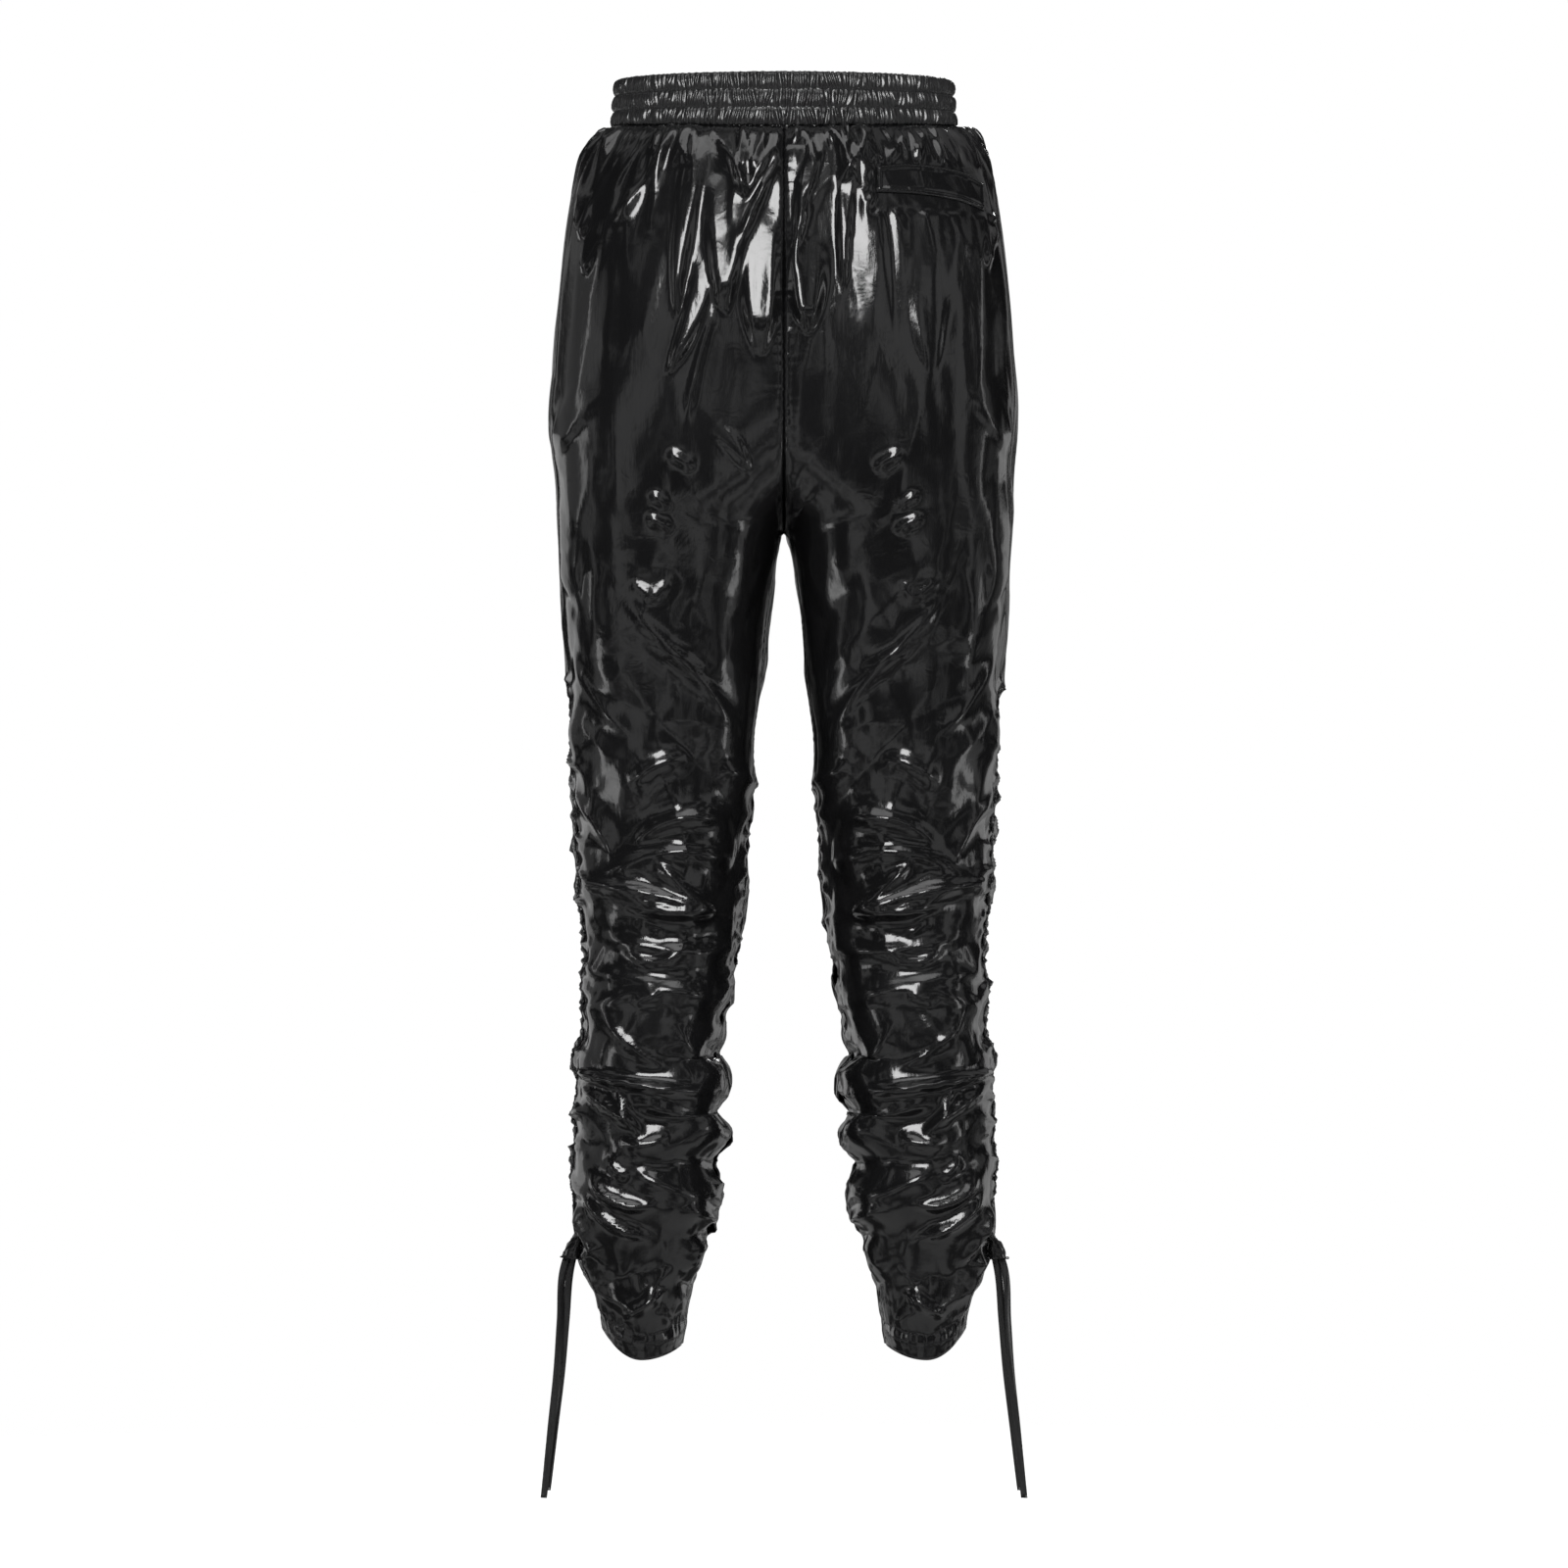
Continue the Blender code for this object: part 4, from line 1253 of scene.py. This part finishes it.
def stitch_row(name, path, normals):
    """One mesh of beads along a path of points in mm."""
    along, normals = lengths_of(path), unit(normals)
    points, faces = [], []
    for start in np.arange(STITCH_PITCH / 2, along[-1] - STITCH_PITCH, STITCH_PITCH):
        before = STITCH_LENGTH / 2 if start > STITCH_LENGTH else 0
        first_end, last_end = read_path(np.array([start - before, start + STITCH_LENGTH / 2]), along, path)
        up = unit(read_path(start, along, normals))
        aside = np.cross(unit(last_end - first_end), up)
        first = len(points)
        for share, size in STITCH_RINGS:
            centre = first_end + (last_end - first_end) * share
            for k in range(STITCH_SIDES):
                angle = k * math.tau / STITCH_SIDES
                out = math.cos(angle) * aside + math.sin(angle) * up
                points.append(centre + STITCH_RADIUS * size * out)
        faces += grid_faces(len(STITCH_RINGS), STITCH_SIDES, closed=True, flip=True, start=first)
        faces.append(tuple(range(first, first + STITCH_SIDES)))
        faces.append(tuple(range(len(points) - STITCH_SIDES, len(points)))[::-1])
    piece = add_mesh(name, points, faces)
    on_root(piece)
    return piece


threads = []
for side, side_name in SIDES:
    grid = fine_sides[side]
    hem_row = np.argmin(np.abs(heights_above_hem(grid) - HEM_DEPTH), axis=0)
    columns = np.arange(grid.shape[1])
    path, normals = (every[hem_row, columns] * np.array([side, 1, 1]) for every in (grid, grid_normals(grid)))
    threads.append(stitch_row(f"hem_stitches_{side_name}", path, normals))
    tunnel = channel_grids[side]
    normals = grid_normals(tunnel) * side
    for where, at in (("back", 1), ("front", CHANNEL_COLUMNS - 2)):
        name = f"channel_stitches_{side_name}_{where}"
        threads.append(stitch_row(name, tunnel[:, at], normals[:, at]))
normals = grid_normals(band, closed=True)
for number in range(1, BAND_CHANNELS):
    row = round(number / BAND_CHANNELS * (BAND_ROWS - 1))
    path = band[row] + normals[row] * BAND_LIFT
    threads.append(stitch_row(f"waistband_stitches_{number}", path, normals[row]))
normals = grid_normals(welt_grid)
for where, row in (("top", 2), ("foot", WELT_ROWS - 3)):
    path = welt_grid[row] + normals[row] * WELT_THREAD_LIFT
    threads.append(stitch_row(f"welt_stitches_{where}", path, normals[row]))
print(sum(len(t.data.polygons) for t in threads), "stitch faces")


# %% [markdown]
# ## Materials
#
# The cloth is a close weave under a clear, wet-looking coat. What shows is the
# coat's reflection: a dark base, a low and slightly uneven roughness, and a surface
# that is never quite flat, because the coat wrinkles at several scales. Shader maths
# is written as ordinary Python through a small wrapper round a socket.

# %% A small wrapper for node trees
class Value:
    """A number or vector in a node tree, which adds and multiplies like one."""

    def __init__(self, tree, socket):
        self.tree, self.socket = tree, socket

    def _math(self, operation, first, second=0.0):
        node = self.tree.tree.nodes.new("ShaderNodeMath")
        node.operation = operation
        for place, value in enumerate((first, second)):
            self.tree.connect(node.inputs[place], value)
        return Value(self.tree, node.outputs[0])

    def __add__(self, other):
        return self._math("ADD", self, other)

    def __sub__(self, other):
        return self._math("SUBTRACT", self, other)

    def __mul__(self, other):
        return self._math("MULTIPLY", self, other)

    def __truediv__(self, other):
        return self._math("DIVIDE", self, other)

    def __abs__(self):
        return self._math("ABSOLUTE", self)

    def clamp(self, low, high):
        return self._math("MINIMUM", self._math("MAXIMUM", self, low), high)

    __radd__ = __add__


class Tree:
    """A node tree that is empty but for its output."""

    def __init__(self, owner, output):
        owner.use_nodes = True
        self.tree = owner.node_tree
        self.tree.nodes.clear()
        self.output = self.tree.nodes.new(output)

    def connect(self, socket, value):
        if isinstance(value, Value):
            self.tree.links.new(value.socket, socket)
        elif value is not None:
            socket.default_value = value

    def node(self, kind, settings=None, sockets=None, output=0):
        made = self.tree.nodes.new(kind)
        for name, setting in (settings or {}).items():
            setattr(made, name, setting)
        for name, value in (sockets or {}).items():
            self.connect(made.inputs[name], value)
        return Value(self, made.outputs[output])

    def noise(self, vector, scale, detail=2.0, rough=0.5, distortion=0.0):
        return self.node("ShaderNodeTexNoise", sockets={
            "Vector": vector, "Scale": scale, "Detail": detail, "Roughness": rough,
            "Distortion": distortion})

    def stretched(self, vector, by):
        return self.node("ShaderNodeVectorMath", {"operation": "MULTIPLY"}, {0: vector, 1: by})


# %% The coated cloth
LIGHT_PATCH, DARK_PATCH = 1.35, 0.8  # times the colour
PATCHES, MARKS = 0.10, 0.08  # how much they change the roughness
DENTS, CREASES, GRIT, STREAKS, WEAVE = 0.55, -0.42, 0.07, 0.12, 0.010  # heights, in mm
PATCH_SPREAD, PATCH_EDGE = 1.6, 0.4
ROUGHNESS_LIMITS = (0.04, 0.6)
NOISES = {  # scale, detail, roughness and distortion
    "patch": (9, 3), "mark": (70, 4, 0.65), "dent": (24, 2, 0.5, 0.6), "crease": (62, 2, 0.55, 0.8),
    "grit": (240, 2, 0.6), "streak": (420,)}
WEAVE_SCALE = 1400
ALONG_CLOTH = (1, 1, 0.16)  # streaks are long in z


def coated_cloth(name, colour, roughness, crinkle, coat=0.15):
    """A close weave under a clear coat; crinkle is how strongly the coat wrinkles."""
    made = bpy.data.materials.new(name)
    tree = Tree(made, "ShaderNodeOutputMaterial")
    place = tree.node("ShaderNodeTexCoord", output="Object")
    patch, mark, dent, crease, grit = (
        tree.noise(place, *NOISES[name]) for name in ("patch", "mark", "dent", "crease", "grit"))
    tone = tree.node("ShaderNodeMix", {"data_type": "RGBA"}, {
        "Factor": (patch * PATCH_SPREAD - PATCH_EDGE).clamp(0, 1),
        "A": (*[c * DARK_PATCH for c in colour], 1), "B": (*[c * LIGHT_PATCH for c in colour], 1),
    }, output="Result")
    uneven = (roughness + (patch - 0.5) * PATCHES + (mark - 0.5) * MARKS).clamp(*ROUGHNESS_LIMITS)
    crease = abs(crease - 0.5)
    streak = tree.noise(tree.stretched(place, ALONG_CLOTH), *NOISES["streak"])
    weave = tree.node("ShaderNodeTexVoronoi", {"feature": "F1"}, {"Vector": place, "Scale": WEAVE_SCALE},
                      output="Distance")
    height = dent * DENTS + crease * CREASES + grit * GRIT + streak * STREAKS + weave * WEAVE
    bump = tree.node("ShaderNodeBump", sockets={"Strength": crinkle, "Distance": MM, "Height": height})
    shader = tree.node("ShaderNodeBsdfPrincipled", sockets={
        "Base Color": tone, "Roughness": uneven, "Normal": bump, "Specular IOR Level": 0.5,
        "Coat Weight": coat, "Coat Roughness": 0.04})
    tree.connect(tree.output.inputs["Surface"], shader)
    return made


cloth = coated_cloth("coated_cloth", (0.008, 0.008, 0.0085), 0.14, 0.6)
# the waistband's base is about twice as light as the panels': a painted sheen that stands in for the light
# its small puckers catch
band_cloth = coated_cloth("gathered_waistband", (0.017, 0.017, 0.0175), 0.22, 0.5)
tie_cloth = coated_cloth("tie_cloth", (0.014, 0.014, 0.0145), 0.26, 0.5)
thread = coated_cloth("sewing_thread", (0.010, 0.010, 0.011), 0.45, 0.3, coat=0.0)
for pieces, finish in (([*panels.values(), *channels.values(), welt], cloth), ([waistband], band_cloth),
                       (ties, tie_cloth), (threads, thread)):
    for piece in pieces:
        piece.data.materials.append(finish)
print("materials:", ", ".join(m.name for m in (cloth, band_cloth, tie_cloth, thread)))


# %% [markdown]
# ## The studio
#
# Wet-looking black cloth shows the studio rather than itself. One large softbox high
# behind the camera lights the crests of the folds, and another does the same for the
# front. Dimmer ones behind the garment and strips at its sides give the legs their
# grey rims. The room and the floor are mottled, so the calm cloth mirrors dark and
# grey parts, and they are white to the camera only.

# %% Lights
def softbox(name, azimuth, elevation, distance, width, height, radiance):
    """A light seen from the garment at that azimuth (0 is behind the back) and
    elevation, in degrees; radiance is how bright its face looks."""
    a, e = math.radians(azimuth), math.radians(elevation)
    target = Vector((0, 0, CAMERA_HEIGHT))
    light = bpy.data.lights.new(name, "AREA")
    light.shape = "RECTANGLE"
    light.size, light.size_y = width, height
    light.energy = radiance * math.pi * width * height
    lamp = bpy.data.objects.new(name, light)
    direction = Vector((-math.sin(a) * math.cos(e), math.cos(a) * math.cos(e), math.sin(e)))
    lamp.location = target + distance * direction
    lamp.rotation_euler = (target - lamp.location).to_track_quat("-Z", "Y").to_euler()
    lamp.visible_camera = False
    bpy.context.scene.collection.objects.link(lamp)


Softbox = namedtuple("Softbox", "name azimuth elevation distance width height radiance")
SOFTBOXES = table(
    Softbox,
    ("key", -4.5, 27, 3.2, 1.15, 1.25, 13),
    ("top", 0, 64, 3, 2.4, 1.3, 2),
    ("rim_left", -136, -7, 3, 1.3, 1.5, 0.7),
    ("rim_right", 136, -7, 3, 1.3, 1.5, 0.7),
    ("low_right", 66, -17, 1.3, 0.2, 0.26, 2.8),
    ("low_left", -66, -17, 1.3, 0.2, 0.26, 2.8),
    ("side_right", 88, 8, 3, 0.24, 1.3, 1.9),
    ("side_left", -88, 8, 3, 0.24, 1.3, 1.9),
    ("front", 172, 30, 3.2, 1.1, 1.4, 9),
)
for box in SOFTBOXES:
    softbox(*box)

# %% Background and floor
FLOOR_HEIGHT = -1.19
FLOOR_RADIUS = 1.8
FLOOR_SIDES = 96
FLOOR_FADE = (0.35, 0.6)  # where it begins to fade, and over how far, as shares of the radius
FLOOR_GLOW = 0.75
FLOOR_PARTS = 3.4  # how finely the floor is mottled where the cloth mirrors it
AROUND = 0.57  # how bright the room's pale parts are to the cloth
ROOM_SCALE = 3.1  # how many pale and dark parts the room has
ROOM_EDGE, ROOM_CONTRAST, DARKEST = 0.45, 8, 0.02
FRONT_TURN, FRONT_SHADE, FRONT_LEAST = 1.5, 0.75, 0.5  # the room is dimmer before the garment
FLOOR_EDGE, FLOOR_CONTRAST = 0.44, 9
WHITE, PALE = (1, 1, 1, 1), (0.9, 0.9, 0.9, 1)
DARK_PART, LIGHT_PART = (0.07, 0.07, 0.07, 1), (0.66, 0.66, 0.66, 1)  # of the floor

world = bpy.data.worlds.new("studio")
bpy.context.scene.world = world
tree = Tree(world, "ShaderNodeOutputWorld")
seen = tree.node("ShaderNodeBackground", sockets={"Color": WHITE, "Strength": 1.0})
direction = tree.node("ShaderNodeTexCoord", output="Generated")
parts = tree.noise(direction, ROOM_SCALE, 1.0, 0.4, 0.6)
toward_camera = tree.node("ShaderNodeSeparateXYZ", sockets={0: direction}, output="Y")
pale_share = ((parts - ROOM_EDGE) * ROOM_CONTRAST).clamp(DARKEST, 1)
pale_share = pale_share * (toward_camera * FRONT_TURN + FRONT_SHADE).clamp(FRONT_LEAST, 1)
room = tree.node("ShaderNodeBackground", sockets={"Color": WHITE, "Strength": pale_share * AROUND})
is_camera = tree.node("ShaderNodeLightPath", output="Is Camera Ray")
mixed = tree.node("ShaderNodeMixShader", sockets={0: is_camera, 1: room, 2: seen})
tree.connect(tree.output.inputs["Surface"], mixed)

bpy.ops.mesh.primitive_circle_add(vertices=FLOOR_SIDES, radius=FLOOR_RADIUS, fill_type="NGON",
                                  location=(0, 0, 0))
floor = bpy.context.active_object
floor.name = "floor"
floor.data.transform(Matrix.Translation((0, 0, FLOOR_HEIGHT)))
floor_finish = bpy.data.materials.new("pale_floor")
tree = Tree(floor_finish, "ShaderNodeOutputMaterial")
place = tree.node("ShaderNodeTexCoord", output="Object")
level_place = tree.stretched(place, (1, 1, 0))
length = tree.node("ShaderNodeVectorMath", {"operation": "LENGTH"}, {0: level_place}, output="Value")
fade = ((length / FLOOR_RADIUS - FLOOR_FADE[0]) / FLOOR_FADE[1]).clamp(0, 1)
matte = tree.node("ShaderNodeBsdfDiffuse", sockets={"Color": PALE})
glow = tree.node("ShaderNodeEmission", sockets={"Color": WHITE, "Strength": FLOOR_GLOW})
pale = tree.node("ShaderNodeAddShader", sockets={0: matte, 1: glow})
clear = tree.node("ShaderNodeBsdfTransparent")
parts = tree.noise(place, FLOOR_PARTS, 1.0)
shade = tree.node("ShaderNodeMix", {"data_type": "RGBA"}, {
    "Factor": ((parts - FLOOR_EDGE) * FLOOR_CONTRAST).clamp(0, 1), "A": DARK_PART, "B": LIGHT_PART,
}, output="Result")
dark = tree.node("ShaderNodeBsdfDiffuse", sockets={"Color": shade})
shown = tree.node("ShaderNodeMixShader", sockets={0: fade, 1: pale, 2: clear})
is_camera = tree.node("ShaderNodeLightPath", output="Is Camera Ray")
tree.connect(tree.output.inputs["Surface"],
             tree.node("ShaderNodeMixShader", sockets={0: is_camera, 1: dark, 2: shown}))
floor.data.materials.append(floor_finish)
bpy.context.scene.view_settings.view_transform = "Standard"
print("studio ready")


BAND_CUT = (0.90, 0.040)  # metres: round the whole top before the elastics draw it up
CHANNEL_CUT = (0.0165, 0.68)  # the tunnel drawn out to the length of the leg's cut
WELT_CUT = (0.090, 0.025)


def outer_area(piece):
    """Half of a thin shell's surface, in square metres."""
    return sum(p.area for p in piece.data.polygons) / 2


def cut_area(columns):
    rest = rest_grid()[:, columns]
    across_cut = np.linalg.norm(np.diff(rest, axis=1), axis=2)
    down_cut = np.linalg.norm(np.diff(rest, axis=0), axis=2)
    area = (across_cut[1:] + across_cut[:-1]) / 2 * (down_cut[:, 1:] + down_cut[:, :-1]) / 2
    return area.sum() * MM ** 2, across_cut.sum(axis=1).max() * MM, down_cut.sum(axis=0).max() * MM


for node, piece in panels.items():
    columns = slice(0, HALF + 1) if node.startswith("back") else slice(HALF, None)
    area, width, length = cut_area(columns)
    print(f"{node}: cut {width:.3f} by {length:.3f} m, {area:.3f} m2, made {outer_area(piece):.3f}")
for piece, flat, held, under in (
        (waistband, BAND_CUT, "gathered", ["back_left_cloth", "front_left_cloth"]),
        (channels[1], CHANNEL_CUT, "gathered", ["back_left_cloth", "front_left_cloth"]),
        (channels[-1], CHANNEL_CUT, "gathered", ["back_right_cloth", "front_right_cloth"]),
        (welt, WELT_CUT, "folded", ["back_right_cloth"])):
    print(f"{piece.name}: cut {flat[0]} by {flat[1]} m, made {outer_area(piece):.4f} m2")
